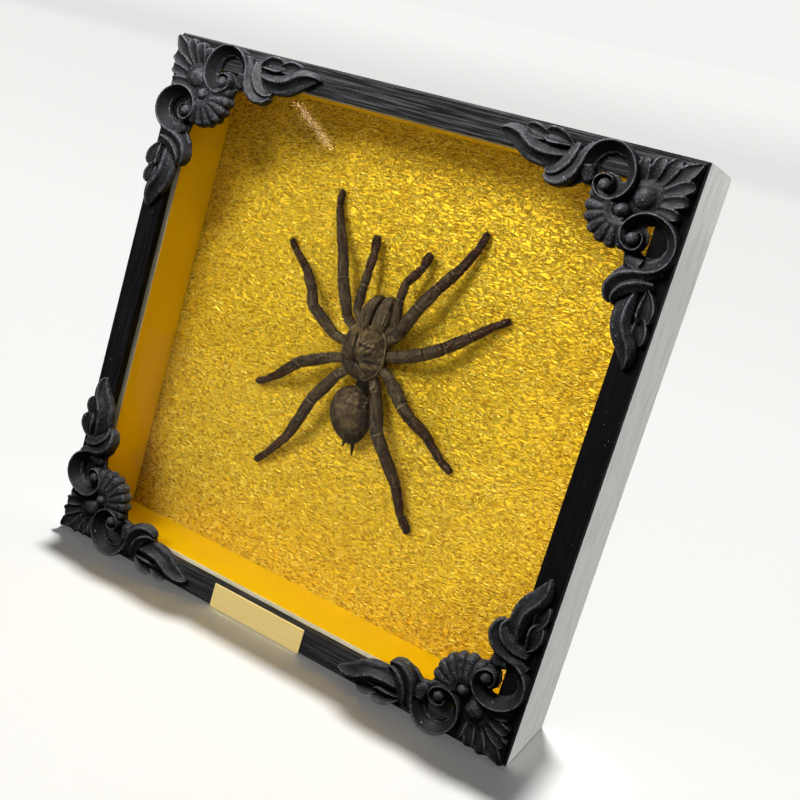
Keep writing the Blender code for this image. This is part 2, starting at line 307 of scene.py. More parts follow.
def of_kind(kind: type, items: list) -> list:
    """Only the corners, only the edges or only the faces of what an operator gave back."""
    return [item for item in items if isinstance(item, kind)]


def ease(form: Form, width_mm: float, segments: int = 2, edges: list[Edge] | None = None) -> Form:
    """Break the sharp edges of a form in the frame's metres.

    Args:
        form: The form.
        width_mm: How far each edge is cut back.
        segments: Faces across a broken edge.
        edges: The edges, or all if None.

    Returns:
        The same form.
    """
    bmesh.ops.bevel(form, geom=form.edges[:] if edges is None else edges, offset=width_mm * MM,
                    segments=segments, profile=0.5, affect="EDGES", material=-1)
    return form


def face_out(form: Form, places: np.ndarray | None = None) -> Form:
    """Turn all faces of a form outward.

    Args:
        form: The form.
        places: Where its corners are moved first, if given.

    Returns:
        The same form.
    """
    for corner, place in zip(form.verts, () if places is None else places):
        corner.co = place
    bmesh.ops.recalc_face_normals(form, faces=form.faces)
    return form


def slab(outline: Points, low: float, high: float) -> Form:
    """Flat slab inside an outline.

    Args:
        outline: Its corners, going round.
        low: Height of its under side.
        high: Height of its top.

    Returns:
        The form.
    """
    form = bmesh.new()
    base = form.faces.new([form.verts.new((u, v, low)) for u, v in outline])
    grown = bmesh.ops.extrude_face_region(form, geom=[base])["geom"]
    bmesh.ops.translate(form, vec=(0.0, 0.0, high - low), verts=of_kind(Vert, grown))
    return face_out(form)


def smooth_path(points: Points, per_span: int) -> np.ndarray:
    """Points on a smooth curve through the given ones, end to end.

    Args:
        points: Points of any number of values each.
        per_span: Steps between two points.

    Returns:
        One row a point.
    """
    knots = np.array(points, float)
    ends = np.vstack([2 * knots[0] - knots[1], knots, 2 * knots[-1] - knots[-2]])
    rows = []
    for i in range(len(knots) - 1):
        a, b, c, d = ends[i:i + 4]
        for t in np.arange(per_span) / per_span:
            rows.append(0.5 * (2 * b + (c - a) * t + (2 * a - 5 * b + 4 * c - d) * t ** 2
                               + (3 * b - a - 3 * c + d) * t ** 3))
    return np.vstack([rows, knots[-1:]])


def rounded_end(rows: np.ndarray, steps: int = 5) -> np.ndarray:
    """Rows of a path carried on past its end, narrowing to a round tip.

    Args:
        rows: x, y, z, half width and height of each section.
        steps: Sections in the tip.

    Returns:
        The longer path.
    """
    last = rows[-1]
    ahead = rows[-1, :3] - rows[-2, :3]
    ahead /= np.linalg.norm(ahead)
    tip = []
    for step in range(1, steps + 1):
        angle = math.pi / 2 * step / steps
        row = last.copy()
        row[:3] += ahead * last[3] * math.sin(angle)
        row[3] = max(last[3] * math.cos(angle), 0.05)
        row[4] = last[4] * (0.55 + 0.45 * math.cos(angle))
        tip.append(row)
    return np.vstack([rows, tip])


def section_matrix(rows: np.ndarray, index: int) -> Matrix:
    """Matrix that puts a flat section onto one place of a path.

    Args:
        rows: x, y, z, half width and height of each section.
        index: Which section.

    Returns:
        The matrix: x runs to the right of the path, y up, and z along it.
    """
    before, after = rows[max(index - 1, 0), :3], rows[min(index + 1, len(rows) - 1), :3]
    along = Vector(after - before).normalized()
    across = along.cross(Vector((0.0, 0.0, 1.0))).normalized()
    up = across.cross(along).normalized()
    _, _, _, half_width, height = rows[index]
    turned = Matrix((across * half_width, up * height, along)).transposed().to_4x4()
    return Matrix.Translation(rows[index, :3]) @ turned


def sweep(rows: np.ndarray, section: Points) -> Form:
    """Closed form of one section carried along a path.

    Args:
        rows: x, y, z, half width and height of each section.
        section: Outline of the section, across from -1 to 1 and up.

    Returns:
        The form.
    """
    form = bmesh.new()
    ring = bmesh.ops.create_circle(form, segments=len(section), radius=1.0)["verts"]
    for corner, (across, up) in zip(ring, section):
        corner.co = (across, up, 0.0)
    edges = form.edges[:]
    bmesh.ops.contextual_create(form, geom=edges)
    place = section_matrix(rows, 0)
    bmesh.ops.transform(form, matrix=place, verts=ring)
    for index in range(1, len(rows)):
        grown = bmesh.ops.extrude_edge_only(form, edges=edges)["geom"]
        ring, edges = of_kind(Vert, grown), of_kind(Edge, grown)
        following = section_matrix(rows, index)
        bmesh.ops.transform(form, matrix=following @ place.inverted(), verts=ring)
        place = following
    bmesh.ops.contextual_create(form, geom=edges)
    return face_out(form)


def ball(centre: Point, radii: Point, segments: int = 24, rings: int = 16) -> Form:
    """Ellipsoid.

    Args:
        centre: Its middle.
        radii: Its radii along x, y and z.
        segments: Faces around.
        rings: Faces from pole to pole.

    Returns:
        The form.
    """
    form = bmesh.new()
    shape = Matrix.Translation(centre) @ Matrix.Diagonal((*radii, 1.0))
    bmesh.ops.create_uvsphere(form, u_segments=segments, v_segments=rings, radius=1.0, matrix=shape)
    return form


def lobe(rows: Points, square: float, blunt: float, sides: int = 56, rings: int = 48) -> Form:
    """Closed lobe along y, its width and height given place by place.

    Args:
        rows: y, middle x, half width, middle height and half height, from the rear to the front.
        square: Power of the section: 1 for round, less for squarer.
        blunt: Power of the ends: 2 for round, more for blunter.
        sides: Faces around.
        rings: Faces along.

    Returns:
        The form.
    """
    table = smooth_path(rows, 8)
    form = ball((0.0, 0.0, 0.0), (1.0, 1.0, 1.0), sides, rings)
    across, up, along = np.array([corner.co for corner in form.verts]).T
    girth = np.maximum(np.hypot(across, up), 1e-9)
    end = np.sqrt(np.clip(1.0 - np.abs(along) ** blunt, 0.0, 1.0))
    y = table[0, 0] + (table[-1, 0] - table[0, 0]) * (along + 1.0) / 2.0
    middle, wide, height, tall = (np.interp(y, table[:, 0], table[:, i]) for i in range(1, 5))
    x = middle + wide * end * np.sign(across) * np.abs(across / girth) ** square
    z = height + tall * end * np.sign(up) * np.abs(up / girth) ** square
    return face_out(form, np.stack([x, y, z], axis=1))


# --------------------------------------------------------------------------- corner castings

def both_halves(right: list[Point]) -> list[Point]:
    """Whole of a section from its right half, which runs from its foot up to its middle."""
    return [(-1, 0), *right, *[(-across, up) for across, up in right[-2:0:-1]]]


class Section(Enum):
    """Cross-sections of the casting's forms, across from -1 to 1 and up from 0 to 1."""

    ROUND = both_halves([(1, 0), (1, 0.5), (0.9, 0.76), (0.66, 0.92), (0.34, 0.985), (0, 1)])
    SPOON = both_halves([(1, 0), (1, 0.8), (0.93, 0.97), (0.8, 1.0), (0.66, 0.9), (0.45, 0.74), (0, 0.64)])
    PETAL = both_halves([(1, 0), (1, 0.84), (0.93, 0.97), (0.8, 1.0), (0.66, 0.93), (0.45, 0.86), (0, 0.83)])
    SCROLL = [(-1, 0), (1.5, 0), (1.5, 0.14), (1.2, 0.22), (0.8, 0.36), (0.4, 0.52), (0, 0.7),
              (-0.3, 0.85), (-0.45, 0.95), (-0.6, 1.0), (-0.78, 0.99), (-0.93, 0.88), (-1, 0.6)]
    LEAF = [(-1, 0), (1, 0), (1, 0.62), (0.86, 0.74), (0.6, 0.88), (0.36, 0.98), (0.22, 1.0),
            (0.1, 0.9), (-0.1, 0.7), (-0.4, 0.56), (-0.75, 0.5), (-0.93, 0.46), (-1, 0.38)]
    FOLD = [(-1, 0), (1, 0), (1, 0.6), (0.85, 0.72), (0.5, 0.78), (0.1, 0.86), (-0.3, 0.97),
            (-0.55, 1.0), (-0.8, 0.93), (-0.96, 0.76), (-1, 0.55)]


@dataclass
class CornerCasting:
    """The cast resin ornament: scrolls, hooked leaves, acanthus tips, fan, bead and shell.

    It is modelled in corner coordinates: u along one rail and v along the other from the frame's
    outer corner, and z above the frame's face. Both arms are alike, mirrored in the diagonal.
    """

    # Heights of its underside, of its low base and of the domes' feet, in millimetres
    back: float = 0.3
    base: float = 2.5
    dome_foot: float = 2.4
    # Grain of the fused skin in millimetres, and the share of its faces that is kept
    grain: float = 0.34
    keep: float = 0.5
    outline: Points = (
        (0.9, 0.9), (9.4, 2.0), (15.6, 3.4), (21.4, 5.0), (27.2, 3.2), (34.4, 0.8), (40.6, 2.4),
        (45.4, 5.2), (51.4, 6.0), (55.4, 2.4), (62.4, 3.2), (66.7, 2.0), (71.2, 3.4),
        (77.6, 4.2), (80.2, 6.2), (74.2, 10.0), (69.8, 12.6), (66.0, 15.0), (59.9, 15.8),
        (56.8, 19.6), (51.0, 22.2), (47.0, 21.2), (43.6, 18.4), (39.0, 19.4), (37.4, 27.0),
        (36.2, 31.4), (34.4, 34.4),
    )
    crescent: Points = (
        (40.4, 13.6), (39.9, 9.6), (37.6, 6.0), (33.8, 4.6), (29.8, 5.8), (27.0, 9.4), (26.6, 13.6),
        (28.6, 14.6), (30.6, 12.6), (33.4, 12.0), (36.4, 12.8), (38.4, 14.8),
    )
    # Places along each form: u, v, height of its top, half width
    scroll: Points = (
        (41.5, 15.6, 4.6, 2.7), (42.5, 11.6, 5.6, 2.6), (42.3, 8.2, 6.4, 2.5), (40.6, 5.0, 7.0, 2.3),
        (37.9, 2.9, 7.4, 2.1), (34.6, 2.1, 7.6, 2.0), (31.0, 2.6, 7.6, 1.95), (27.8, 4.7, 7.6, 1.9),
        (25.5, 8.0, 7.6, 1.9), (24.5, 11.7, 7.7, 1.9), (24.9, 15.3, 7.9, 1.85), (26.5, 18.3, 8.0, 1.8),
        (29.0, 20.4, 8.1, 1.75), (31.8, 21.1, 8.1, 1.65), (34.5, 20.4, 8.0, 1.5), (36.4, 18.6, 7.8, 1.35),
        (36.9, 16.4, 7.6, 1.2), (35.9, 14.7, 7.4, 1.1), (33.8, 14.0, 7.2, 0.95), (31.8, 14.6, 7.0, 0.8),
        (31.0, 16.2, 6.6, 0.6),
    )
    outer_fold: Points = (
        (42.6, 3.4, 5.2, 1.2), (44.9, 7.6, 6.4, 1.8), (46.2, 12.6, 6.9, 2.3), (48.6, 17.4, 7.3, 2.8),
        (52.4, 20.2, 7.0, 2.6), (56.2, 20.2, 5.8, 1.8), (58.6, 18.6, 4.2, 0.7),
    )
    inner_fold: Points = (
        (48.4, 4.6, 4.6, 1.2), (49.2, 8.2, 6.0, 2.2), (50.6, 12.2, 6.8, 2.5), (53.2, 15.8, 6.9, 2.2),
        (56.4, 17.6, 5.9, 1.5), (59.0, 17.0, 4.2, 0.5),
    )
    leaf: Points = (
        (51.6, 10.6, 4.6, 2.2), (54.6, 11.8, 5.8, 3.2), (59.8, 12.5, 6.9, 4.1), (65.0, 11.9, 7.2, 4.3),
        (69.0, 9.9, 7.0, 4.4), (72.4, 7.6, 6.5, 4.1), (76.0, 6.3, 5.7, 3.3), (79.2, 5.9, 4.9, 1.9),
        (81.3, 6.2, 3.8, 0.5),
    )
    leaf_flank: Points = (
        (57.0, 15.2, 3.0, 0.7), (61.4, 15.2, 4.0, 1.4), (66.0, 14.0, 4.2, 1.7), (69.8, 12.2, 3.8, 1.1),
    )
    lobe_near: Points = (
        (50.4, 6.2, 4.4, 0.5), (53.2, 5.0, 5.4, 2.1), (56.6, 4.2, 6.2, 3.3), (59.4, 4.1, 6.2, 3.5),
    )
    lobe_far: Points = (
        (59.6, 5.8, 4.0, 0.9), (63.0, 4.8, 4.9, 2.4), (66.2, 4.1, 5.4, 3.1), (68.2, 3.9, 5.3, 2.9),
    )
    fan: tuple[Points, ...] = (
        [(20.4, 14.0, 3.2, 0.9), (21.3, 9.8, 4.6, 2.0), (21.6, 7.2, 5.4, 2.3), (21.8, 5.6, 5.5, 2.1)],
        [(18.0, 13.4, 3.2, 0.9), (17.3, 9.2, 4.5, 2.2), (16.7, 6.2, 5.3, 2.6), (16.3, 4.4, 5.4, 2.4)],
        [(15.6, 13.8, 3.2, 0.9), (13.1, 8.8, 4.4, 2.4), (11.6, 5.6, 5.1, 2.8), (10.7, 3.9, 5.2, 2.5)],
    )
    fan_middle: Points = (
        (14.0, 14.0, 3.2, 1.0), (9.0, 9.0, 4.5, 2.9), (5.2, 5.2, 5.0, 3.0), (1.4, 1.4, 4.2, 0.6),
    )
    # Round forms: u, v, radius, height of the top
    boss: Point = (18.0, 18.0, 4.7, 6.4)
    fan_pad: Point = (17.4, 17.4, 7.9, 4.3)
    bead: Point = (24.8, 24.8, 3.3, 8.6)
    scroll_ball: Point = (33.6, 17.3, 2.5, 8.1)
    scroll_dish: Point = (33.4, 17.3, 3.4, 4.6)
    shell_lobes: int = 7
    shell_step: float = math.radians(21.0)
    # Along a lobe of the shell: reach from the bead, height of the top, half width. The collar: the same
    shell_reach: Points = ((3.0, 7.4, 1.5), (6.0, 7.8, 1.9), (9.2, 7.4, 2.35), (12.0, 6.6, 2.5))
    collar: Point = (5.5, 7.8, 2.3)

    def rib(self, places: Points, section: Section, blunt: bool = False) -> Form:
        """One swept form that stands on the casting's back.

        Args:
            places: u, v, height of the top and half width along the form.
            section: Its cross-section.
            blunt: Whether it ends round and wide instead of narrowing.

        Returns:
            The form.
        """
        rows = smooth_path([(u, v, self.back, w, top - self.back) for u, v, top, w in places], 6)
        if blunt:
            rows = rounded_end(rows)
        return sweep(rows, section.value)

    def pierced_base(self) -> Form:
        """Low base inside the outline, with the scrolls' crescents cut out of it."""
        cutter = self.with_mirror(slab(self.crescent, -1.0, self.base + 1.0))
        tool = put("crescents", mesh_of(cutter, "crescents"))
        outline = [*self.outline, *[(v, u) for u, v in reversed(self.outline)][1:-1]]
        pierced = evaluated(mesh_of(slab(outline, self.back, self.base), "plate"), [
            ("BOOLEAN", {"operation": "DIFFERENCE", "solver": "EXACT", "object": tool}),
        ])
        bpy.data.objects.remove(tool)
        form = bmesh.new()
        form.from_mesh(pierced)
        bpy.data.meshes.remove(pierced)
        return form

    def shell(self) -> Form:
        """Lobes fanned out from the bead about the diagonal, inside a smooth collar."""
        form = bmesh.new()
        u, v = self.bead[:2]
        for index in range(self.shell_lobes):
            angle = math.pi / 4 + self.shell_step * (index - (self.shell_lobes - 1) / 2)
            places = [(u + reach * math.cos(angle), v + reach * math.sin(angle), top, w)
                      for reach, top, w in self.shell_reach]
            merge(form, self.rib(places, Section.ROUND, blunt=True))
        reach, top, w = self.collar
        half_turn = self.shell_step * self.shell_lobes / 2
        arc = [(u + reach * math.cos(angle), v + reach * math.sin(angle), top, w)
               for angle in np.linspace(math.pi / 4 - half_turn, math.pi / 4 + half_turn, 9)]
        merge(form, self.rib(arc, Section.ROUND))
        return form

    def arm(self) -> Form:
        """Everything that both arms repeat."""
        form = self.rib(self.scroll, Section.SCROLL)
        ribs = (
            (self.scroll[1::-1], Section.ROUND, True),
            (self.outer_fold, Section.FOLD, False), (self.inner_fold, Section.FOLD, False),
            (self.leaf, Section.LEAF, False), (self.leaf_flank, Section.ROUND, False),
            (self.lobe_far, Section.SPOON, True), (self.lobe_near, Section.SPOON, True),
            *((petal, Section.PETAL, True) for petal in self.fan),
        )
        for places, section, blunt in ribs:
            merge(form, self.rib(places, section, blunt))
        u, v, radius, top = self.scroll_dish
        merge(form, ball((u, v, self.back), (radius, radius, top - self.back)))
        u, v, radius, top = self.scroll_ball
        merge(form, ball((u, v, top - radius), (radius, radius, radius)))
        return form

    def with_mirror(self, form: Form) -> Form:
        """Add a form's mirror image in the diagonal to it.

        Args:
            form: The form.

        Returns:
            The same form.
        """
        swap = Matrix(((0, 1, 0, 0), (1, 0, 0, 0), (0, 0, 1, 0), (0, 0, 0, 1)))
        copied = bmesh.ops.duplicate(form, geom=form.verts[:] + form.edges[:] + form.faces[:])["geom"]
        bmesh.ops.transform(form, matrix=swap, verts=of_kind(Vert, copied))
        bmesh.ops.reverse_faces(form, faces=of_kind(Face, copied))
        return form

    def shells(self) -> Mesh:
        """All forms of the casting as overlapping closed shells."""
        form = self.with_mirror(self.arm())
        merge(form, self.rib(self.fan_middle, Section.PETAL))
        merge(form, self.shell())
        for u, v, radius, top in (self.fan_pad, self.boss, self.bead):
            merge(form, ball((u, v, self.dome_foot), (radius, radius, top - self.dome_foot)))
        merge(form, self.pierced_base())
        return mesh_of(form, "casting")

    def mesh(self) -> Mesh:
        """The casting as one skin, with its ridges marked for the finish."""
        fused = evaluated(self.shells(), [
            ("REMESH", {"mode": "VOXEL", "voxel_size": self.grain, "adaptivity": 0.0}),
            ("SMOOTH", {"factor": 0.5, "iterations": 3}),
            ("DECIMATE", {"decimate_type": "COLLAPSE", "ratio": self.keep}),
        ])
        set_attribute(fused, "ridge", ridge_of(fused))
        fused.transform(Matrix.Translation((-SIDE / 2, -SIDE / 2, 0.0)))
        return fused

    def build(self, finish: Material) -> None:
        """Make the four castings.

        Args:
            finish: Their finish.
        """
        mesh = self.mesh()
        for turns, corner in enumerate(("bottom_left", "top_left", "top_right", "bottom_right")):
            copy = mesh.copy()
            copy.transform(to_frame(turns))
            add_piece(f"casting_{corner}", copy, [finish], (f"corner_ornament_{corner}",))
        bpy.data.meshes.remove(mesh)


def ridge_of(mesh: Mesh, spread: int = 2) -> np.ndarray:
    """How far each vertex stands out from its neighbours, smoothed.

    Args:
        mesh: Mesh to read.
        spread: Rounds of averaging.

    Returns:
        About 0.5 on flat places, 1 on sharp ridges and 0 in grooves.
    """
    places, normals = vertex_rows(mesh)
    ends = index_rows(mesh.edges, 2)
    valence = np.maximum(np.bincount(ends.ravel(), minlength=len(places)), 1).astype(float)

    def around(values: np.ndarray) -> np.ndarray:
        """Average of each vertex's neighbours.

        Args:
            values: One value or one row a vertex.

        Returns:
            The averages, in the same order.
        """
        total = np.zeros_like(values)
        np.add.at(total, ends[:, 0], values[ends[:, 1]])
        np.add.at(total, ends[:, 1], values[ends[:, 0]])
        return total / (valence[:, None] if values.ndim == 2 else valence)

    stands = ((places - around(places)) * normals).sum(axis=1)
    for _ in range(spread):
        stands = (stands + around(stands)) / 2
    scale = np.percentile(np.abs(stands), 97)
    return np.clip(0.5 + 0.5 * stands / scale, 0.0, 1.0)


# --------------------------------------------------------------------------- finishes

class Coat:
    """A material in the making: its Principled shader, and the colours laid on it so far."""

    def __init__(self, name: str, code: str, **sockets: float | Colour) -> None:
        """Start the material.

        Args:
            name: What the real material is.
            code: Its first colour, as sRGB hex.
            **sockets: Values of the shader's own sockets, with _ for a space.
        """
        self.material: Material = bpy.data.materials.new(name)
        self.material.use_nodes = True
        self.tree = self.material.node_tree
        self.shader = self.tree.nodes["Principled BSDF"]
        self.colour: Colour | Socket = srgb(code)
        for key, value in {"Base_Color": self.colour, **sockets}.items():
            self.shader.inputs[key.replace("_", " ")].default_value = value

    def noise(self, grain_mm: float | Point, detail: float = 3.0, roughness: float = 0.55,
              distortion: float = 0.0, place: Socket | None = None) -> Socket:
        """Noise on Object coordinates, or other ones, with its grain size given.

        Args:
            grain_mm: Size of a grain in millimetres, or its sizes along x, y and z.
            detail: Octaves.
            roughness: How strong the finer octaves are.
            distortion: Warp of the noise.
            place: Coordinates in metres, in place of Object ones.

        Returns:
            The noise value, from 0 to 1.
        """
        sizes = grain_mm if isinstance(grain_mm, tuple) else (grain_mm,) * 3
        mapping = add_node(self.tree, "ShaderNodeMapping", {"Scale": [1.0 / (size * MM) for size in sizes]}, {
            "Vector": place or add_node(self.tree, "ShaderNodeTexCoord").outputs["Object"],
        })
        return add_node(self.tree, "ShaderNodeTexNoise", {
            "Scale": 1.0, "Detail": detail, "Roughness": roughness, "Distortion": distortion,
        }, {"Vector": mapping.outputs["Vector"]}).outputs["Fac"]

    def attribute(self, name: str, output: str = "Fac") -> Socket:
        """Value of one of the piece's own attributes."""
        return add_node(self.tree, "ShaderNodeAttribute", {"attribute_name": name}).outputs[output]

    def step(self, value: Socket, low: float, high: float, start: float = 0.0, end: float = 1.0) -> Socket:
        """Map a value smoothly from one range to another.

        Args:
            value: Value to map.
            low: Value that gives the start.
            high: Value that gives the end.
            start: Result at low.
            end: Result at high.

        Returns:
            The mapped value.
        """
        return add_node(self.tree, "ShaderNodeMapRange", {
            "interpolation_type": "SMOOTHSTEP", "From Min": low, "From Max": high,
            "To Min": start, "To Max": end,
        }, {"Value": value}).outputs["Result"]

    def ramp(self, value: Socket, stops: list[tuple[float, Colour]]) -> Socket:
        """Colours picked by a value from a row of stops."""
        return add_node(self.tree, "ShaderNodeValToRGB", {"stops": stops}, {"Fac": value}).outputs["Color"]

    def line(self, value: Socket, half_width: float, strength: float = 1.0) -> Socket:
        """Line where a value passes its middle, as strong as given, fading out to both sides."""
        off, on = (0.0, 0.0, 0.0, 1.0), (strength, strength, strength, 1.0)
        return self.ramp(value, [(0.5 - half_width, off), (0.5, on), (0.5 + half_width, off)])

    def both(self, first: Socket, second: Socket) -> Socket:
        """Product of two values."""
        return add_node(self.tree, "ShaderNodeMath", {"operation": "MULTIPLY"},
                        {0: first, 1: second}).outputs["Value"]

    def feed(self, socket: str, value: Socket) -> None:
        """Link a value to one of the shader's sockets."""
        self.tree.links.new(value, self.shader.inputs[socket])

    def lay(self, code: str, amount: Socket) -> None:
        """Lay one more colour over those laid before.

        Args:
            code: The colour, as sRGB hex.
            amount: How much of it shows, from 0 to 1.
        """
        mix = add_node(self.tree, "ShaderNodeMix", {"data_type": "RGBA", 7: srgb(code)}, {0: amount})
        if isinstance(self.colour, Socket):
            self.tree.links.new(self.colour, mix.inputs[6])
        else:
            mix.inputs[6].default_value = self.colour
        self.colour = mix.outputs[2]
        self.feed("Base Color", self.colour)

    def emboss(self, height: Socket, depth_mm: float) -> None:
        """Bump the surface, over the bumps that it has.

        Args:
            height: Height from 0 to 1.
            depth_mm: What a height of 1 stands for, in millimetres.
        """
        normal = self.shader.inputs["Normal"]
        links = {"Height": height}
        if normal.is_linked:
            links["Normal"] = normal.links[0].from_socket
        bump = add_node(self.tree, "ShaderNodeBump", {"Strength": 1.0, "Distance": depth_mm * MM}, links)
        self.feed("Normal", bump.outputs["Normal"])


class Grain(Enum):
    """Direction of the wood's grain under the paint, as the grain's size in millimetres."""

    ALONG_X = (24.0, 0.9, 0.55)
    ALONG_Z = (0.55, 0.9, 24.0)


@dataclass(frozen=True)
class BrushedPaint:
    """Thin matte black paint on planed softwood: its grain shows as fine lines, greyer on the grain, partly
    worn paint and partly painted sheen.
    """

    rail: str
    grain: Grain
    rubbed_and_sheen: str
    fresh_and_sheen: str = "111113"
    fleck: str = "B4B4B0"
    relief_mm: float = 0.12

    def material(self) -> Material:
        """Material of the rails' fronts, with grain lines, grey on the grain for wear and painted sheen, and
        pale dust flecks.
        """
        coat = Coat(f"black paint brushed on pine, {self.rail} rail", self.fresh_and_sheen, Specular_IOR_Level=0.08)
        lines = coat.noise(self.grain.value, 5.0, 0.65)
        # Grey on the grain lines: worn paint, and painted sheen for the light that the grain catches from
        # above.
        coat.lay(self.rubbed_and_sheen, coat.step(lines, 0.42, 0.72))
        coat.lay(self.fleck, coat.step(coat.noise(0.8, 1.0, 0.3), 0.80, 0.83))
        coat.feed("Roughness", coat.step(coat.noise(9.0), 0.3, 0.7, 0.46, 0.62))
        coat.emboss(lines, self.relief_mm)
        return coat.material


@dataclass(frozen=True)
class PaintedSideSheen:
    """Pale grey on the rails' outer sides, standing for the sheen that black satin paint shows at a grazing
    angle: a painted reflection, with dark pinholes.
    """

    grey: str = "C8C7C4"
    cloud: str = "B6B5B2"
    pinhole: str = "4A4A4A"

    def material(self) -> Material:
        """Material of the rails' outer sides, whose grey is painted reflection."""
        coat = Coat("grey painted sheen over black satin", self.grey, Roughness=0.4)
        clouds = coat.noise((7.0, 7.0, 16.0), 4.0, 0.6)
        coat.lay(self.cloud, coat.step(clouds, 0.35, 0.7))
        coat.lay(self.pinhole, coat.step(coat.noise(1.0, 1.0, 0.3), 0.77, 0.80))
        coat.feed("Roughness", coat.step(clouds, 0.25, 0.75, 0.36, 0.5))
        coat.emboss(coat.noise((0.7, 0.7, 9.0), 4.0), 0.03)
        return coat.material


@dataclass(frozen=True)
class PictureGlass:
    """Coated picture glass, 2 mm: quite clear, so weak a mirror that only a bare lamp shows in it."""

    tint: str = "FDFEFD"
    ior: float = 1.03
    coat_ior: float = 1.16

    def material(self) -> Material:
        """Clear material, with the lowered IOR that stands for its coat."""
        return Coat("coated float glass", self.tint, Roughness=0.0, IOR=self.ior, Transmission_Weight=1.0,
                    Coat_Weight=1.0, Coat_Roughness=0.042, Coat_IOR=self.coat_ior).material


@dataclass(frozen=True)
class GoldCard:
    """Card faced with smooth gold foil: an even satin metal with faint rolled mottling."""

    gold: str = "E9BD06"
    deep: str = "DAAD04"
    shine: str = "E0AE0A"

    def material(self) -> Material:
        """Material of the lining strips' faces."""
        coat = Coat("smooth gold foil on card", self.gold, Metallic=0.2, Roughness=0.42,
                    Specular_IOR_Level=0.2, Specular_Tint=srgb(self.shine))
        coat.lay(self.deep, coat.noise(18.0))
        coat.emboss(coat.noise(1.6, 2.0), 0.03)
        return coat.material


@dataclass(frozen=True)
class CardEdge:
    """Cut edge of cream card: matte, a little fibrous."""

    cream: str = "D2C9B0"
    shade: str = "AFA27F"

    def material(self) -> Material:
        """Material of the lining strips' cut edges."""
        coat = Coat("cut cream card", self.cream, Roughness=0.85)
        coat.lay(self.shade, coat.noise((1.2, 0.3, 1.2)))
        return coat.material


@dataclass(frozen=True)
class GoldLeatherPaper:
    """Gold foil on paper pressed with a leather grain: crests lying across with painted glints, and narrow
    valleys darkened with painted shade.
    """

    crest_glint: str = "FFE55E"
    mid: str = "E4BC26"
    deep: str = "AE820E"
    shine: str = "FFEDB4"
    crest_mm: Point = (3.3, 1.8, 1.6)
    wrinkle_mm: Point = (2.2, 1.1, 1.0)

    def material(self) -> Material:
        """Material of the panel, with its leather crests and a few longer creases, painted glints on the
        crests and painted shade in the valleys.
        """
        coat = Coat("leather-grain gold paper", self.deep, Metallic=0.55, Specular_IOR_Level=0.45,
                    Specular_Tint=srgb(self.shine))
        crest = coat.line(coat.noise(self.crest_mm, 1.0, 0.5, 0.5), 0.08)
        crease = coat.line(coat.noise((16.0, 16.0, 9.0), 3.0, 0.5, 0.6), 0.015)
        wrinkle = coat.noise(self.wrinkle_mm, 1.5, 0.5, 0.5)
        # The gold is left off where the wrinkles are low, so the deeper colour there is painted shade in the
        # valleys.
        coat.lay(self.mid, coat.step(wrinkle, 0.36, 0.54))
        # Pale colour along the crests is a painted glint.
        coat.lay(self.crest_glint, coat.step(crest, 0.2, 0.9, 0.0, 0.72))
        coat.lay(self.deep, coat.step(coat.noise(60.0, 2.0), 0.35, 0.7, 0.0, 0.2))
        coat.feed("Roughness", coat.step(crest, 0.0, 1.0, 0.44, 0.3))
        for height, depth_mm in ((crease, 0.15), (wrinkle, 0.5), (crest, 0.5)):
            coat.emboss(height, depth_mm)
        return coat.material


@dataclass(frozen=True)
class Hardboard:
    """Pressed wood-fibre board: matte brown with short pale and dark fibres."""

    brown: str = "6E4E31"
    pale: str = "8E6C48"
    dark: str = "4A3220"

    def material(self) -> Material:
        """Material of the back board."""
        coat = Coat("pressed hardboard", self.brown, Roughness=0.78)
        fibres = coat.noise((1.6, 1.6, 0.5), 4.0, 0.7, 0.8)
        coat.lay(self.pale, coat.step(fibres, 0.42, 0.68))
        coat.lay(self.dark, coat.step(fibres, 0.4, 0.28))
        coat.lay(self.dark, coat.step(coat.noise(22.0), 0.4, 0.7, 0.0, 0.35))
        coat.emboss(fibres, 0.12)
        return coat.material


@dataclass(frozen=True)
class ZincedSteel:
    """Stamped spring steel with a thin zinc coat: grey satin metal with drawing lines."""

    zinc: str = "A9ACAE"
    dull: str = "85888A"

    def material(self) -> Material:
        """Material of the back tabs."""
        coat = Coat("zinced spring steel", self.zinc, Metallic=1.0, Roughness=0.38)
        lines = coat.noise((0.25, 3.0, 6.0))
        coat.lay(self.dull, lines)
        coat.feed("Roughness", coat.step(lines, 0.3, 0.7, 0.3, 0.5))
        coat.emboss(lines, 0.02)
        return coat.material


@dataclass(frozen=True)
class BrassPlate:
    """Pale brushed brass sheet under lacquer: satin, with fine lines along its length."""

    brass: str = "E3CA82"
    shade: str = "DBC073"

    def material(self) -> Material:
        """Material of the name plate."""
        coat = Coat("brushed lacquered brass", self.brass, Metallic=0.1, Roughness=0.42)
        lines = coat.noise((14.0, 0.3, 0.3), 4.0, 0.6)
        coat.lay(self.shade, coat.step(lines, 0.35, 0.7))
        coat.feed("Roughness", coat.step(lines, 0.3, 0.7, 0.36, 0.5))
        coat.emboss(lines, 0.015)
        return coat.material


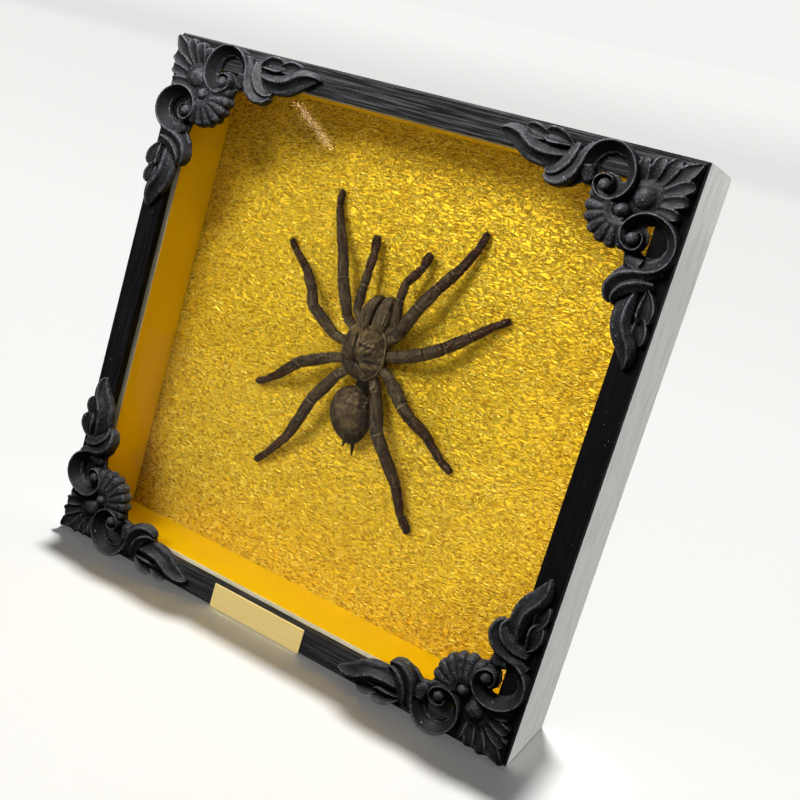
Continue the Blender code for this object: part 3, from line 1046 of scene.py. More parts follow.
@dataclass(frozen=True)
class CastResin:
    """Cast resin painted matte black: charcoal, greyer on its ridges with worn paint and painted highlight,
    and darker in its hollows with painted shade.
    """

    body: str = "1D1D20"
    hollow_shade: str = "0A0A0C"
    ridge: str = "585A5E"
    dust: str = "8A8C90"
    chip: str = "C9C7C0"

    def material(self) -> Material:
        """Material of the corner castings."""
        coat = Coat("matte black painted cast resin", self.body, Roughness=0.5, Specular_IOR_Level=0.25)
        ridge = coat.attribute("ridge")
        dapple = coat.noise(2.4, 4.0, 0.6)
        # Painted shade: darker in the hollows.
        coat.lay(self.hollow_shade, coat.step(ridge, 0.46, 0.2))
        # Grey on the ridges: worn paint and painted highlight.
        coat.lay(self.ridge, coat.both(coat.step(ridge, 0.56, 0.98), coat.step(dapple, 0.3, 0.62)))
        # Pale grey stipple, mostly on the ridges, adds to the painted highlight there.
        coat.lay(self.dust, coat.both(coat.step(coat.noise(0.6, 2.0, 0.7), 0.52, 0.7),
                                      coat.step(ridge, 0.25, 0.85, 0.0, 0.65)))
        coat.lay(self.chip, coat.step(coat.noise(1.1, 1.0, 0.3), 0.80, 0.82))
        coat.feed("Roughness", coat.step(dapple, 0.3, 0.7, 0.48, 0.66))
        coat.emboss(coat.noise(0.5), 0.05)
        return coat.material


class Hide(Enum):
    """Colours of the dried skin by body part, along the specimen's tint."""

    LEG = ("4E3F2A", "4A3A26", "483222", "46281A", "3C2010")
    CARAPACE = ("382A14", "5E4A25", "241A0E")
    ABDOMEN = ("544127", "382A1B", "120C07")
    CHELICERA = ("4A3B24", "4E3E2A")


@dataclass(frozen=True)
class DriedHide:
    """Dried spider skin under a close nap of hairs: matte, streaked where it shrank, pale at its joints."""

    hide: Hide
    streak_mm: Point = (5.0, 0.7, 0.7)
    creased: float = 0.0
    pale: str = "94805A"
    black: str = "0A0705"
    nap: float = 0.06
    sheen: str = "7A6444"

    def material(self) -> Material:
        """Material that reads the specimen's tint, pale, dark and strand attributes."""
        coat = Coat(f"dried {self.hide.name.lower()} hide", self.black, Roughness=0.75,
                    Specular_IOR_Level=0.22, Sheen_Weight=self.nap, Sheen_Roughness=0.5,
                    Sheen_Tint=srgb(self.sheen))
        last = len(self.hide.value) - 1
        coat.colour = coat.ramp(coat.attribute("tint"), [
            (place / last, srgb(code)) for place, code in enumerate(self.hide.value)
        ])
        streaks = coat.noise(self.streak_mm, 4.0, 0.6, 0.3, coat.attribute("strand", "Vector"))
        coat.lay(self.pale, coat.step(streaks, 0.52, 0.72, 0.0, 0.45))
        coat.lay(self.black, coat.step(streaks, 0.54, 0.34, 0.0, 0.85))
        coat.lay(self.black, coat.step(coat.noise(1.3, 4.0, 0.65), 0.5, 0.3, 0.0, 0.8))
        coat.lay(self.black, coat.line(coat.noise(3.4, 3.0, 0.5), 0.015, self.creased))
        coat.lay(self.pale, coat.attribute("pale"))
        # The dark attribute holds dark marks and painted shade.
        coat.lay(self.black, coat.attribute("dark"))
        coat.emboss(streaks, 0.25)
        coat.emboss(coat.noise(0.4), 0.12)
        return coat.material


@dataclass(frozen=True)
class SpiderHair:
    """Dry spider hair: brown, darker at the root, with a dull shine."""

    brown: str = "2E2218"
    tan: str = "665238"
    root: str = "0E0A07"

    def material(self) -> Material:
        """Material that reads each hair's shade and the place along it."""
        coat = Coat("dry spider hair", self.brown, Roughness=0.65, Specular_IOR_Level=0.25)
        coat.lay(self.tan, coat.attribute("shade"))
        coat.lay(self.root, coat.step(coat.attribute("along"), 0.7, 0.0))
        return coat.material


@dataclass(frozen=True)
class PaperSweep:
    """White studio paper, lit through from behind, most where it rises: matte and even up to the wall."""

    white: str = "F8F8F6"
    lit: str = "FFFFFD"
    glow: float = 0.87
    floor_glow: float = 0.1
    rise: float = 0.5

    def material(self) -> Material:
        """Material of the backdrop. Its glow grows as the paper turns away from the lamp above it."""
        coat = Coat("white studio paper", self.white, Roughness=0.9, Specular_IOR_Level=0.1,
                    Emission_Color=srgb(self.lit))
        place = add_node(coat.tree, "ShaderNodeTexCoord").outputs["Object"]
        height = add_node(coat.tree, "ShaderNodeSeparateXYZ", links={"Vector": place}).outputs["Z"]
        coat.feed("Emission Strength", add_node(coat.tree, "ShaderNodeMapRange", {
            "From Max": self.rise, "To Min": self.floor_glow, "To Max": self.glow,
        }, {"Value": height}).outputs["Result"])
        return coat.material


# --------------------------------------------------------------------------- box

@dataclass
class ShadowBox:
    """The frame's rails, glass, gold linings, leather-grain panel, back board, tabs and plate."""

    # Each rail's greys hold painted sheen: the top and bottom rails, whose grain runs across the light from
    # above, are painted lighter than the sides.
    rails: tuple[BrushedPaint, ...] = (
        BrushedPaint("bottom", Grain.ALONG_X, "565557", fresh_and_sheen="28282A", relief_mm=0.05),
        BrushedPaint("left", Grain.ALONG_Z, "262526"),
        BrushedPaint("top", Grain.ALONG_X, "737477", fresh_and_sheen="1F1F21", relief_mm=0.08),
        BrushedPaint("right", Grain.ALONG_Z, "1C1B1C"),
    )
    # Widths of the broken edges and height of the panel's relief, in millimetres
    rail_bevel: float = 0.22
    glass_bevel: float = 0.15
    liner_bevel: float = 0.12
    plate_bevel: float = 0.14
    tab_corner: float = 1.6
    panel_relief: float = 0.28
    panel_cells: int = 270
    # Crinkles of the panel: share of the relief, size along x, layer of the noise, size along z
    crinkles: Points = ((0.5, 7.5, 0.0, 5.0), (0.7, 3.2, 7.0, 2.3))

    def box_form(self, node: str) -> Form:
        """Box the size of a solid, in the frame's metres.

        Args:
            node: The solid's name.

        Returns:
            The form.
        """
        low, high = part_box(node)
        form = bmesh.new()
        shape = Matrix.Translation((low + high) / 2) @ Matrix.Diagonal((*(high - low), 1.0))
        bmesh.ops.create_cube(form, size=1.0, matrix=shape)
        return form

    def rail(self, paint: BrushedPaint, lacquer: Material) -> None:
        """One mitred rail with its edges eased, brushed in front, and grey outside, a grey that is painted
        reflection.

        Args:
            paint: Its paint, which names the rail.
            lacquer: Finish of its outer side, whose grey is painted reflection.
        """
        node = f"frame_{paint.rail}"
        form = bmesh.new()
        form.from_mesh(frame["nodes"][node].data)
        bmesh.ops.remove_doubles(form, verts=form.verts, dist=1e-6)
        bmesh.ops.dissolve_limit(form, angle_limit=math.radians(1.0), verts=form.verts, edges=form.edges)
        ease(form, self.rail_bevel)
        middle = Vector((0.0, 0.0, SIDE / 2 * MM))
        for face in form.faces:
            outward = (face.calc_center_median() - middle) * Vector((1.0, 0.0, 1.0))
            is_side = abs(face.normal.y) < 0.5 and face.normal.dot(outward.normalized()) > 0.5
            face.material_index = 1 if is_side and outward.length > (SIDE / 2 - 1.0) * MM else 0
        add_piece(f"rail_{paint.rail}", mesh_of(form, node), [paint.material(), lacquer],
                  (node,), smooth=False)

    def glass(self, clear: Material) -> None:
        """The pane with ground edges. It lets the lamps through, so it casts no shadow of its own.

        Args:
            clear: Its finish.
        """
        form = ease(self.box_form("glass_pane"), self.glass_bevel, 1)
        pane = add_piece("picture_glass", mesh_of(form, "pane"), [clear], ("glass_pane",),
                         smooth=False)
        pane.visible_shadow = False

    def liner(self, side: str, card: Material, edge: Material) -> None:
        """One lining strip with its cut front edge.

        Args:
            side: Which side of the box.
            card: Finish of the faces.
            edge: Finish of the cut edge.
        """
        node = f"liner_{side}"
        form = ease(self.box_form(node), self.liner_bevel)
        front = min(corner.co.y for corner in form.verts)
        for face in form.faces:
            if face.normal.y < -0.6 and face.calc_center_median().y < front + 0.2 * MM:
                face.material_index = 1
        add_piece(f"lining_{side}", mesh_of(form, node), [card, edge], (node,), smooth=False)

    def panel(self, paper: Material) -> None:
        """The crinkled panel: a fine grid with its relief, closed behind.

        Args:
            paper: Its finish.
        """
        low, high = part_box("backing_panel")
        form = bmesh.new()
        stretch = Matrix.Diagonal(((high.x - low.x) / 2, (high.z - low.z) / 2, 1.0, 1.0))
        stand = Matrix.Translation(((low.x + high.x) / 2, low.y, (low.z + high.z) / 2)) \
            @ Matrix.Rotation(math.pi / 2, 4, "X")
        bmesh.ops.create_grid(form, x_segments=self.panel_cells, y_segments=self.panel_cells, size=1.0,
                              matrix=stand @ stretch)
        rim = [edge for edge in form.edges if edge.is_boundary]
        for corner in form.verts:
            if not corner.is_boundary:
                corner.co.y -= self.relief(corner.co / MM) * MM
        grown = bmesh.ops.extrude_edge_only(form, edges=rim)["geom"]
        bmesh.ops.translate(form, vec=(0.0, high.y - low.y, 0.0), verts=of_kind(Vert, grown))
        bmesh.ops.contextual_create(form, geom=of_kind(Edge, grown))
        add_piece("leather_grain_panel", mesh_of(face_out(form), "panel"), [paper],
                  ("backing_panel",))

    def relief(self, place: Vector) -> float:
        """Height of the panel's crinkles at a place, in millimetres.

        Args:
            place: Place in the frame, in millimetres.

        Returns:
            The height, from about -1 to 1 times the panel's relief.
        """
        return self.panel_relief * sum(
            share * noise.noise(Vector((place.x / wide, layer, place.z / tall)))
            for share, wide, layer, tall in self.crinkles
        )

    def plate(self, brass: Material) -> None:
        """The name plate, left bare, with eased edges."""
        form = ease(self.box_form("name_plate"), self.plate_bevel, 3)
        add_piece("bare_name_plate", mesh_of(form, "plate"), [brass], ("name_plate",), smooth=False)

    def tab(self, node: str, steel: Material) -> None:
        """One back tab with rounded corners and eased edges.

        Args:
            node: The solid's name.
            steel: Its finish.
        """
        form = self.box_form(node)
        through = [edge for edge in form.edges
                   if abs((edge.verts[0].co - edge.verts[1].co).normalized().y) > 0.9]
        ease(form, self.tab_corner, 5, through)
        add_piece(node.replace("back_tab", "steel_tab"), mesh_of(form, "tab"), [steel], (node,),
                  smooth=False)

    def build(self) -> None:
        """Make and dress the whole box."""
        # The outer sides' grey is painted reflection of the bright room in black satin paint.
        lacquer = PaintedSideSheen().material()
        for paint in self.rails:
            self.rail(paint, lacquer)
        self.glass(PictureGlass().material())
        card, edge = GoldCard().material(), CardEdge().material()
        for side in ("bottom", "top", "left", "right"):
            self.liner(side, card, edge)
        self.panel(GoldLeatherPaper().material())
        dress("back_board", Hardboard().material())
        steel = ZincedSteel().material()
        for side in ("bottom", "left", "top", "right"):
            for number in (1, 2):
                self.tab(f"back_tab_{side}_{number}", steel)
        self.plate(BrassPlate().material())


# --------------------------------------------------------------------------- specimen

class BodyPart(Enum):
    """Parts of the specimen, each with its place among the hide's materials."""

    LEG = 0
    CARAPACE = 1
    ABDOMEN = 2
    CHELICERA = 3


@dataclass(frozen=True)
class Stroke:
    """A line on the skin: a groove or ridge with its pale or dark mark."""

    points: tuple[Point, ...]
    width: float
    rise: float = 0.0
    pale: float = 0.0
    dark: float = 0.0

    def nearness(self, places: np.ndarray) -> np.ndarray:
        """How near places are to the line: 1 on it, fading over its width.

        Args:
            places: x and y of each place, one row each.

        Returns:
            One value a place.
        """
        away = np.full(len(places), np.inf)
        for start, end in zip(np.array(self.points[:-1]), np.array(self.points[1:])):
            way = end - start
            share = np.clip((places - start) @ way / (way @ way), 0.0, 1.0)
            away = np.minimum(away, np.linalg.norm(places - start - share[:, None] * way, axis=1))
        return bell(away, 0.0, self.width)


def stroke_marks(strokes: tuple[Stroke, ...], places: np.ndarray) -> tuple[np.ndarray, np.ndarray]:
    """Pale and dark marks that strokes leave.

    Args:
        strokes: The strokes.
        places: Points, one row each.

    Returns:
        How pale and how dark each point is, from 0 to 1.
    """
    pale, dark = np.zeros(len(places)), np.zeros(len(places))
    for stroke in strokes:
        near = stroke.nearness(places[:, :2])
        pale = np.maximum(pale, stroke.pale * near)
        dark = np.maximum(dark, stroke.dark * near)
    return pale, dark


def blank_marks(count: int) -> dict[str, np.ndarray]:
    """Marks of so many points, all 0: one value a point, but three for "flow" and "strand"."""
    marks = {name: np.zeros(count) for name in ("tint", "pale", "dark", "length")}
    return marks | {name: np.zeros((count, 3)) for name in ("flow", "strand")}


FOLD_MM = 1.3   # from one fold to the next in the skin round the first joints


@dataclass
class Limb:
    """One leg or palp: straight segments between joints, each swelling in its middle."""

    joints: Points
    half_widths: tuple[float, ...]
    girth: float = 1.0
    step: float = 0.4
    bend: float = 1.1
    sides: int = 20

    def lengths(self) -> np.ndarray:
        """Distance of each joint from the first, along the limb."""
        spans = np.linalg.norm(np.diff(np.array(self.joints), axis=0), axis=1)
        return np.concatenate([[0.0], np.cumsum(spans)])

    def rows(self) -> np.ndarray:
        """Sections from the coxa to the claw: x, y, z, half width and height."""
        at = self.lengths()
        joints = np.array(self.joints)
        total = at[-1]
        along = np.arange(0.0, total, self.step)

        def place(s: np.ndarray) -> np.ndarray:
            """Points of the bare joints' line."""
            s = np.clip(s, 0.0, total)
            return np.stack([np.interp(s, at, joints[:, axis]) for axis in range(3)], axis=1)

        centres = (place(along - self.bend) + 2 * place(along) + place(along + self.bend)) / 4
        knots = [at[0]]
        for start, end in zip(at[1:], at[2:]):
            knots += [start, (start + end) / 2]
        knots.append(at[-1])
        radius = self.girth * np.interp(along, knots, self.half_widths)
        nearest = np.min(np.abs(along[:, None] - at[None, 1:-1]), axis=1)
        radius *= 1.0 - 0.14 * bell(nearest, 0.0, 0.35) + 0.05 * bell(nearest, 1.1, 0.7)
        radius *= 1.0 + 0.03 * np.cos(along * 2 * math.pi / FOLD_MM) * (along < at[1] - 0.5)
        tip = self.half_widths[-1]
        left = total - along
        radius *= np.sqrt(np.clip(1.0 - (1.0 - np.clip(left / tip, 0.0, 1.0)) ** 2, 0.02, 1.0))
        return np.column_stack([centres, radius, radius])

    def form(self) -> Form:
        """Closed tube of the limb, sunken in two lines along its top."""
        angles = np.arange(self.sides) * 2 * math.pi / self.sides
        reach = 1.0 - 0.10 * bell(angles, 1.95, 0.3) - 0.08 * bell(angles, 0.95, 0.28)
        return sweep(self.rows(), [(r * math.cos(a), r * math.sin(a)) for a, r in zip(angles, reach)])


@dataclass(frozen=True)
class HairCoat:
    """One coat of hairs: their number, mean length and root radius in millimetres, and lean, 0 to 1.

    The hairs stray from their lean, stand a little inside the skin and sag by a share of their length.
    """

    count: int
    length: float
    radius: float
    lean: float
    stray: float = 0.22
    inset: float = 0.05
    sag: float = 0.09


@dataclass
class Tarantula:
    """The spread dried specimen: skin in one piece, and its hairs.

    Places are x, y in face coordinates and height above the panel, in millimetres.
    """

    legs: tuple[Points, ...] = (
        [(-8.5, 16.0, 6.6), (-14.7, 21.6, 8.5), (-20.2, 38.4, 12.5), (-24.4, 49.1, 11.0),
         (-31.7, 59.5, 6.5), (-37.1, 68.5, 3.6), (-38.6, 76.6, 2.2)],
        [(-8.5, 10.0, 6.6), (-18.6, 11.7, 8.5), (-31.8, 21.6, 12.2), (-34.8, 28.2, 11.2),
         (-42.6, 36.2, 7.6), (-53.0, 42.3, 3.8), (-58.6, 47.0, 2.2)],
        [(-8.0, 4.0, 6.6), (-17.0, 1.1, 8.5), (-30.3, -5.4, 12.5), (-35.4, -10.2, 11.8),
         (-43.0, -16.4, 7.2), (-50.6, -21.9, 3.8), (-56.6, -24.9, 2.2)],
        [(-6.5, 0.0, 6.6), (-11.8, -5.7, 8.2), (-19.2, -20.2, 12.5), (-23.0, -30.6, 11.0),
         (-28.8, -42.4, 7.5), (-39.3, -55.9, 3.8), (-45.5, -62.3, 2.2)],
        [(6.5, 16.5, 6.6), (11.5, 20.2, 8.5), (20.1, 36.8, 12.5), (25.6, 47.3, 11.0),
         (31.9, 58.4, 7.0), (36.0, 69.3, 3.8), (37.3, 77.1, 2.2)],
        [(7.5, 10.5, 6.6), (15.6, 12.0, 8.5), (29.7, 18.6, 12.5), (36.8, 23.6, 11.2),
         (45.5, 31.6, 6.6), (53.6, 39.5, 3.7), (59.6, 43.6, 2.2)],
        [(7.0, 5.0, 6.6), (14.9, 1.4, 8.5), (25.6, -6.9, 12.5), (31.2, -11.4, 11.4),
         (39.3, -16.7, 7.5), (47.5, -25.8, 3.8), (53.8, -29.6, 2.2)],
        [(5.5, -1.0, 6.6), (9.7, -6.3, 8.5), (17.9, -23.3, 12.5), (23.0, -29.9, 11.5),
         (31.6, -43.6, 6.8), (36.9, -56.8, 3.7), (42.7, -63.8, 2.2)],
    )
    # Half widths at the first joint, then at each later one and halfway to the next, to the claw
    leg_widths: tuple[float, ...] = (2.4, 2.6, 3.25, 2.85, 3.05, 2.7, 2.8, 2.3, 2.1, 1.75, 1.9, 1.6)
    leg_girths: tuple[float, ...] = (0.84, 0.83, 0.86, 0.9, 0.91, 0.93, 0.95, 1.0)
    palps: tuple[Points, ...] = (
        [(-6.0, 20.0, 7.4), (-10.8, 26.6, 9.0), (-9.4, 38.0, 11.4), (-9.9, 45.0, 10.0),
         (-11.2, 53.4, 6.6), (-13.7, 61.0, 3.6)],
        [(5.4, 20.0, 7.4), (9.9, 23.9, 9.0), (9.8, 37.0, 11.4), (9.8, 45.0, 10.4),
         (14.2, 53.6, 7.0), (14.7, 61.0, 3.6)],
    )
    palp_widths: tuple[float, ...] = (1.7, 1.85, 2.1, 1.75, 2.0, 1.7, 2.0, 1.65, 2.1, 1.7)
    # By segment from the body out: how pale its first ring is, and its hairs' length against the mean
    ring_pale: tuple[float, ...] = (0.0, 0.65, 0.65, 0.2, 0.24, 0.4)
    hair_lengths: tuple[float, ...] = (1.5, 1.3, 1.0, 1.1, 1.2, 1.1)
    # How far apart the limbs' streaks are read, so that no two limbs are alike
    strand_gap: float = 40.0
    carapace_centre: Point = (-0.95, 7.24, 9.6)
    carapace_half: float = 11.2
    carapace_ahead: tuple[float, float] = (16.25, 15.2)
    carapace_power: float = 2.6
    carapace_rise: float = 3.2
    carapace_depth: float = 2.2
    rim_rise: float = 0.28
    stroke_height: float = 1.35
    fovea: Point = (-3.0, 4.2)
    # The carapace's darker disc: x and y of its middle, its half width and half length
    disc: Point = (3.0, 7.2, 7.6, 4.0)
    # Where a tint sets in along y, and over how far: the head's, the abdomen's rear, the chelicerae's ends
    head_from: Point = (15.0, 0.8)
    rear_from: Point = (-24.0, 8.0)
    ends_from: Point = (22.0, 13.0)
    strokes: tuple[Stroke, ...] = (
        Stroke(((-5.3, 17.0), (-5.1, 12.0), (-5.0, 7.5), (-3.8, 5.0)), 0.55, -0.8, dark=0.9),
        Stroke(((-7.2, 14.4), (-6.8, 11.8)), 1.2, 0.5),
        Stroke(((-6.2, 14.8), (-6.0, 11.2)), 0.3, pale=0.5),
        Stroke(((-3.6, 14.5), (-3.4, 11.5)), 0.4, 0.2, pale=0.55),
        Stroke(((2.0, 10.6), (4.6, 13.5)), 0.4, 0.4, pale=0.6),
        Stroke(((-2.4, 12.6), (1.5, 12.2), (4.5, 12.4)), 0.6, -0.5, dark=0.7),
        Stroke(((-4.3, 4.6), (-1.5, 3.9)), 0.95, -1.3, dark=1.0),
        Stroke(((-3.5, 6.8), (-3.9, 4.8)), 0.45, -0.6, dark=0.9),
        Stroke(((-3.1, 3.4), (-3.3, 0.8)), 0.5, -0.6, dark=0.9),
        Stroke(((5.6, 16.5), (5.2, 12.5), (3.5, 9.0)), 0.6, -0.45, dark=0.35),
        Stroke(((-0.3, 21.0), (-0.3, 17.0)), 4.6, 0.9),
        Stroke(((-2.5, 20.2), (-1.6, 20.4)), 0.55, -0.25, dark=0.6),
        Stroke(((0.0, 20.9), (1.2, 20.8)), 0.5, -0.2, dark=0.6),
        Stroke(((-2.6, 13.9), (-1.4, 14.5)), 0.35, 0.45, pale=0.7),
        Stroke(((-0.6, 13.4), (0.6, 14.2)), 0.35, 0.45, pale=0.75),
        Stroke(((1.3, 13.0), (2.6, 13.6)), 0.35, 0.45, pale=0.75),
        Stroke(((3.2, 13.3), (4.4, 14.3)), 0.35, 0.4, pale=0.6),
        Stroke(((-1.9, 15.2), (-0.6, 15.5)), 0.3, 0.3, pale=0.5),
        Stroke(((0.9, 14.9), (1.8, 15.6)), 0.3, 0.3, pale=0.45),
        Stroke(((-1.2, 5.4), (3.0, 9.0), (8.0, 12.0)), 0.5, -0.25, dark=0.25),
        Stroke(((-1.0, 4.4), (4.0, 5.6), (9.0, 6.4)), 0.5, -0.22, dark=0.25),
        Stroke(((-1.2, 3.2), (3.5, 1.8), (8.0, 0.5)), 0.5, -0.3, dark=0.3),
        Stroke(((-2.4, 1.0), (0.5, -2.4)), 0.5, -0.25, dark=0.3),
        Stroke(((-5.0, 5.5), (-8.0, 8.0), (-11.0, 9.2)), 0.5, -0.35, dark=0.45),
        Stroke(((-5.0, 4.2), (-8.4, 3.9), (-11.4, 3.4)), 0.5, -0.35, dark=0.4),
        Stroke(((-4.2, 3.0), (-7.0, 0.6), (-9.2, -1.6)), 0.5, -0.35, dark=0.4),
        Stroke(((-8.2, 17.2), (-7.4, 19.6)), 0.5, -0.3, dark=0.4),
    )
    sternum: tuple[Point, Point] = ((0.0, 9.0, 5.4), (9.0, 11.5, 4.2))
    # Along each lobe: y, middle x, half width, middle height, half height
    abdomen: Points = (
        (-34.6, 2.7, 3.2, 6.2, 2.2), (-33.5, 2.5, 4.3, 6.4, 3.2), (-31.0, 2.0, 6.4, 6.9, 4.6),
        (-28.0, 1.6, 8.2, 7.5, 6.0), (-25.0, 1.3, 9.4, 8.1, 7.0), (-22.0, 1.05, 10.1, 8.5, 7.5),
        (-19.0, 0.85, 10.3, 8.7, 7.6), (-16.0, 0.6, 10.0, 8.6, 7.4), (-13.0, 0.2, 9.0, 8.4, 6.6),
        (-10.0, -0.25, 6.9, 8.0, 5.2), (-8.4, -0.45, 5.0, 7.8, 4.0), (-7.2, -0.6, 3.0, 7.6, 2.6),
    )
    abdomen_specks: tuple[Stroke, ...] = (
        Stroke(((7.0, -10.6), (7.1, -10.8)), 0.3, pale=1.0),
        Stroke(((7.7, -12.0), (7.8, -12.3)), 0.3, pale=1.0),
        Stroke(((8.1, -13.6), (8.2, -14.0)), 0.28, pale=0.8),
        Stroke(((5.6, -9.0), (5.7, -9.1)), 0.22, pale=0.6),
    )
    chelicerae: tuple[Points, ...] = (
        [(18.0, -4.1, 3.1, 8.2, 4.3), (21.0, -4.3, 3.3, 8.3, 4.6), (24.0, -4.4, 3.4, 8.4, 4.7),
         (27.0, -4.2, 3.3, 8.4, 4.7), (30.0, -3.6, 3.1, 8.3, 4.6), (33.0, -2.3, 2.9, 8.1, 4.3),
         (36.3, -0.9, 2.6, 7.8, 3.9)],
        [(18.0, 2.9, 3.5, 8.2, 4.3), (21.0, 2.9, 3.8, 8.3, 4.6), (24.0, 2.9, 3.9, 8.4, 4.7),
         (27.0, 3.0, 3.8, 8.4, 4.7), (30.0, 3.3, 3.6, 8.3, 4.6), (33.0, 3.8, 3.3, 8.1, 4.3),
         (37.2, 4.1, 2.9, 7.8, 3.9)],
    )
    chelicera_strokes: tuple[Stroke, ...] = (
        # Black along the gap where the two chelicerae meet: painted shade.
        Stroke(((-1.0, 18.0), (-0.9, 28.0), (0.1, 32.0), (1.2, 37.0)), 0.5, dark=1.0),
        Stroke(((4.4, 24.0), (5.4, 31.0)), 0.3, dark=0.75),
        Stroke(((5.0, 24.5), (5.9, 31.0)), 0.3, pale=0.7),
        Stroke(((5.7, 24.0), (6.4, 30.0)), 0.25, dark=0.7),
        Stroke(((6.3, 24.5), (6.6, 30.0)), 0.28, pale=0.75),
        Stroke(((-7.2, 22.0), (-6.9, 28.0)), 0.4, pale=0.45),
        Stroke(((-4.6, 23.0), (-3.2, 32.0)), 0.35, dark=0.3),
        Stroke(((1.2, 23.0), (2.2, 32.0)), 0.3, dark=0.3),
    )
    pedicel: tuple[Point, Point] = ((0.6, 0.0, 4.9), (1.2, -11.0, 4.5))
    pedicel_radius: float = 3.3
    spinnerets: tuple[tuple[Point, Point], ...] = (
        ((0.4, -32.5, 5.6), (-0.5, -37.4, 4.8)), ((4.2, -31.5, 5.6), (5.4, -39.8, 5.0)),
    )
    spinneret_radius: float = 1.3
    spinneret_tip: float = 0.25
    # Bumps of the skin: height and grain, in millimetres
    bumps: Points = ((0.16, 2.6), (0.08, 0.9))
    # By body part: how lumpy the skin is, and how closely the hairs cover it
    lumps: tuple[float, ...] = (1.0, 1.5, 1.2, 0.8)
    cover: tuple[float, ...] = (1.0, 0.35, 0.6, 0.5)
    hair_seed: int = 11
    fur: HairCoat = HairCoat(55000, 0.95, 0.065, 0.8)
    bristles: HairCoat = HairCoat(5000, 1.9, 0.055, 0.55)

    def limbs(self) -> list[Limb]:
        """All legs and palps."""
        return [Limb(joints, self.leg_widths, girth) for joints, girth in zip(self.legs, self.leg_girths)] \
            + [Limb(joints, self.palp_widths) for joints in self.palps]

    def carapace_outline(self, turn: np.ndarray) -> np.ndarray:
        """Distance of the carapace's edge from its middle: round behind, squarer and clipped in front.

        Args:
            turn: Directions in radians, clockwise from the front.

        Returns:
            Distances in millimetres.
        """
        side, front = np.abs(np.sin(turn)), np.maximum(np.cos(turn), 1e-3)
        reach, clip = self.carapace_ahead
        power = self.carapace_power
        curve = ((side / self.carapace_half) ** power + (front / reach) ** power) ** (-1.0 / power)
        clipped = (curve ** -14.0 + (clip / front) ** -14.0) ** (-1.0 / 14.0)
        return np.where(np.cos(turn) > 0.0, clipped, self.carapace_half)

    def shaped_carapace(self) -> Form:
        """Carapace with its rim, raised head, grooves, torn tufts and pit."""
        form = ball((0.0, 0.0, 0.0), (1.0, 1.0, 1.0), 180, 110)
        x, y, z = np.array([corner.co for corner in form.verts]).T
        turn, share = np.arctan2(x, y), np.hypot(x, y)
        reach = share * self.carapace_outline(turn)
        places = np.stack([reach * np.sin(turn), reach * np.cos(turn)], axis=1) \
            + np.array(self.carapace_centre[:2])
        top = self.carapace_rise * np.sqrt(np.clip(1.0 - share ** 2.6, 0.0, 1.0)) \
            + self.rim_rise * bell(share, 0.968, 0.02)
        inside = np.clip(6.0 * (1.0 - share), 0.0, 1.0)
        for stroke in self.strokes:
            top += self.stroke_height * stroke.rise * stroke.nearness(places) * inside
        height = self.carapace_centre[2] + np.where(z > 0.0, top, -self.carapace_depth * np.abs(z))
        return face_out(form, np.column_stack([places, height]))

    def cone(self, start: Point, end: Point, radius: float, tip: float) -> Form:
        """Round taper between two points.

        Args:
            start: Its root.
            end: Its tip.
            radius: Radius at the root.
            tip: Radius at the tip.

        Returns:
            The form.
        """
        a, b = np.array(start), np.array(end)
        rows = [np.append(a + (b - a) * t, [radius + (tip - radius) * t] * 2) for t in np.linspace(0, 1, 9)]
        angles = np.arange(12) * math.pi / 6
        return sweep(np.array(rows), [(math.cos(t), math.sin(t)) for t in angles])

    def forms(self) -> list[tuple[BodyPart, Form]]:
        """Every form of the skin with the body part that it belongs to."""
        centre, radii = self.sternum
        made = [(BodyPart.LEG, limb.form()) for limb in self.limbs()]
        made += [
            (BodyPart.CARAPACE, self.shaped_carapace()),
            (BodyPart.LEG, ball(centre, radii, 40, 24)),
            (BodyPart.LEG, self.cone(*self.pedicel, self.pedicel_radius, self.pedicel_radius)),
            (BodyPart.ABDOMEN, lobe(self.abdomen, 0.95, 8.0, 88, 64)),
        ]
        made += [(BodyPart.CHELICERA, lobe(rows, 0.7, 6.0)) for rows in self.chelicerae]
        made += [(BodyPart.ABDOMEN, self.cone(*ends, self.spinneret_radius, self.spinneret_tip))
                 for ends in self.spinnerets]
        return made

    def skin_mesh(self) -> tuple[Mesh, np.ndarray]:
        """Skin in face coordinates with height above the panel, and each vertex's body part."""
        whole = bmesh.new()
        owner: list[int] = []
        faces: list[int] = []
        for part, form in self.forms():
            owner += [part.value] * len(form.verts)
            faces += [part.value] * len(form.faces)
            merge(whole, form)
        mesh = mesh_of(whole, "skin")
        mesh.polygons.foreach_set("material_index", faces)
        places, normals = vertex_rows(mesh)
        bumps = np.array([
            sum(height * noise.noise(Vector(p) / grain) for height, grain in self.bumps) for p in places
        ]) * np.array(self.lumps)[owner]
        mesh.vertices.foreach_set("co", (places + normals * bumps[:, None]).ravel())
        mesh.update()
        return mesh, np.array(owner)

